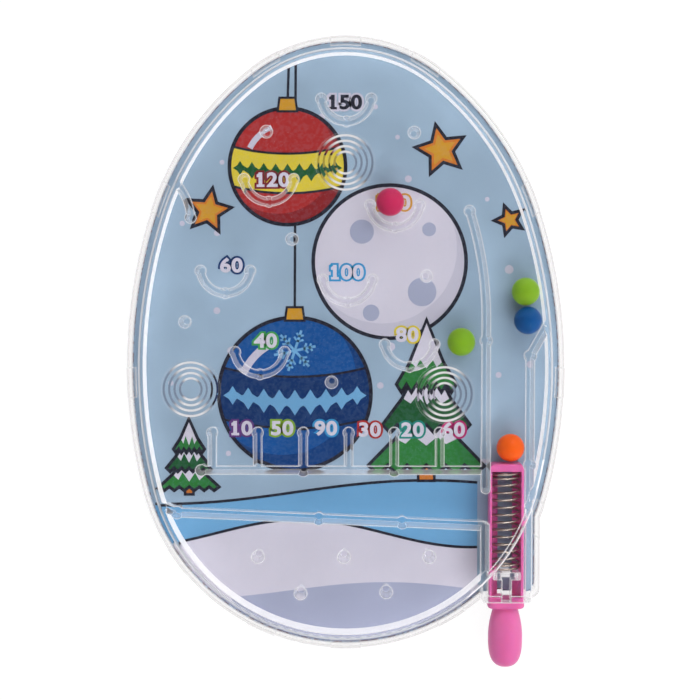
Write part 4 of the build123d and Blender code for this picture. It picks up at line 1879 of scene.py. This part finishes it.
@dataclass
class Studio:
    """Pale floor, soft light and the camera."""

    camera_place: Place = (0.003105, 0.02555, 0.3952)
    camera_turn: Place = (-0.0548899, 0.0054862, 0.0)
    lens: float = 93.6
    floor_size: float = 3.0
    floor_drop: float = -0.00002
    floor_glow: float = 1.1
    floor_share: float = 0.85
    world_light: float = 0.24
    mirrored_light: float = 0.05
    side_light: float = 0.9
    dim_from: float = 0.3
    dim_full: float = 0.8
    strip_size: Point = (1.0, 0.15)
    strip_power: float = 3.7
    soft_size: Point = (0.34, 1.2)
    soft_power: float = 1.2
    top_size: Point = (0.3, 0.24)
    top_power: float = 10.0
    notes: list[str] = field(default_factory=list)

    def camera(self) -> None:
        """Set up the camera above the table."""
        data = bpy.data.cameras.new("table_camera")
        data.lens = self.lens
        data.sensor_width = 36.0
        data.clip_start = 0.01
        holder = in_scene("table_camera", data)
        holder.location = self.camera_place
        holder.rotation_euler = self.camera_turn
        bpy.context.scene.camera = holder

    def lamp(self, aim: Aim, size: Point, power: float) -> Piece:
        """Hang one soft lamp that faces the game.

        Args:
            aim: Which lamp.
            size: Its length and height in metres.
            power: Its power in watts.

        Returns:
            The lamp.
        """
        data = bpy.data.lights.new(f"lamp_{aim.name.lower()}", "AREA")
        data.shape = "RECTANGLE"
        data.size, data.size_y = size
        data.energy = power
        holder = in_scene(data.name, data)
        holder.location = aim.value
        holder.rotation_euler = (-Vector(aim.value)).to_track_quat("-Z", "Y").to_euler()
        self.notes.append(data.name)
        return holder

    def light_mechanism(self, pieces: list[Piece], spring: Piece) -> None:
        """Add soft lamps that light the coloured and metal pieces alone.

        Args:
            pieces: The coloured pieces.
            spring: The spring.
        """
        coloured = bpy.data.collections.new("coloured_pieces")
        metal = bpy.data.collections.new("metal_pieces")
        metal.objects.link(spring)
        for piece in [spring, *pieces]:
            coloured.objects.link(piece)
        for aim in (Aim.LEFT_SIDE, Aim.RIGHT_SIDE):
            lamp = self.lamp(aim, self.soft_size, self.soft_power)
            lamp.light_linking.receiver_collection = coloured
        lamp = self.lamp(Aim.OVER_SPRING, self.top_size, self.top_power)
        lamp.light_linking.receiver_collection = metal
        log.info("studio has lamps %s", ", ".join(self.notes))

    def world(self) -> None:
        """Light the room softly, white to the camera and graded to gloss and through glass."""
        world = bpy.data.worlds.new("white_room")
        world.use_nodes = True
        world.node_tree.nodes.clear()
        sheet = Sheet(world.node_tree)
        bpy.context.scene.world = world
        path = sheet.put("ShaderNodeLightPath").outputs
        mirrored = sheet.maths("MAXIMUM", path["Is Glossy Ray"], path["Is Transmission Ray"])
        height = sheet.parts(sheet.put("ShaderNodeTexCoord").outputs["Generated"])["Z"]
        spans = (self.dim_from, self.dim_full), (self.side_light, self.mirrored_light)
        levels = (self.world_light, sheet.span(height, *spans), 1.0)
        soft, dim, white = (
            sheet.put("ShaderNodeBackground", Color=WHITE, Strength=level).outputs[0]
            for level in levels
        )
        shown = sheet.blend(path["Is Camera Ray"], sheet.blend(mirrored, soft, dim), white)
        sheet.put("ShaderNodeOutputWorld", Surface=shown)

    def floor(self) -> None:
        """Lay a white table top that keeps a faint shadow."""
        mesh = bmesh.new()
        half = self.floor_size / 2
        corners = [(-half, -half), (half, -half), (half, half), (-half, half)]
        mesh.faces.new([mesh.verts.new((x, y, self.floor_drop)) for x, y in corners])
        data = stored_mesh("table_top", mesh)
        material, sheet = new_material("table_white")
        paint = sheet.put("ShaderNodeBsdfDiffuse", Color=(0.93, 0.93, 0.93, 1))
        glow = sheet.put("ShaderNodeEmission", Color=WHITE, Strength=self.floor_glow)
        path = sheet.put("ShaderNodeLightPath").outputs
        first = sheet.maths("MAXIMUM", path["Is Camera Ray"], path["Is Glossy Ray"])
        second = sheet.maths("MAXIMUM", first, path["Is Transmission Ray"])
        share = sheet.maths("MULTIPLY", second, self.floor_share)
        shown = sheet.blend(share, paint.outputs[0], glow.outputs[0])
        sheet.put("ShaderNodeOutputMaterial", Surface=shown)
        data.materials.append(material)
        top = in_scene("table_top", data)

    def build(self) -> None:
        """Set the whole studio up."""
        bpy.context.scene.view_settings.view_transform = "Standard"
        self.camera()
        self.world()
        self.floor()
        for aim in (Aim.CROWN_SIDE, Aim.FOOT_SIDE):
            lamp = self.lamp(aim, self.strip_size, self.strip_power)
            lamp.visible_glossy = False


def main() -> None:
    """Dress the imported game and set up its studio."""
    logging.basicConfig(level=logging.INFO, format="%(name)s: %(message)s")
    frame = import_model()
    studio = Studio()
    studio.build()
    effects = Effects()
    ClearCase().dress(frame, effects)
    PrintedCard().dress(frame, effects)
    studio.light_mechanism(*Mechanism().dress(frame, effects))
    log.info("sizes written")


if __name__ == "__main__":
    main()
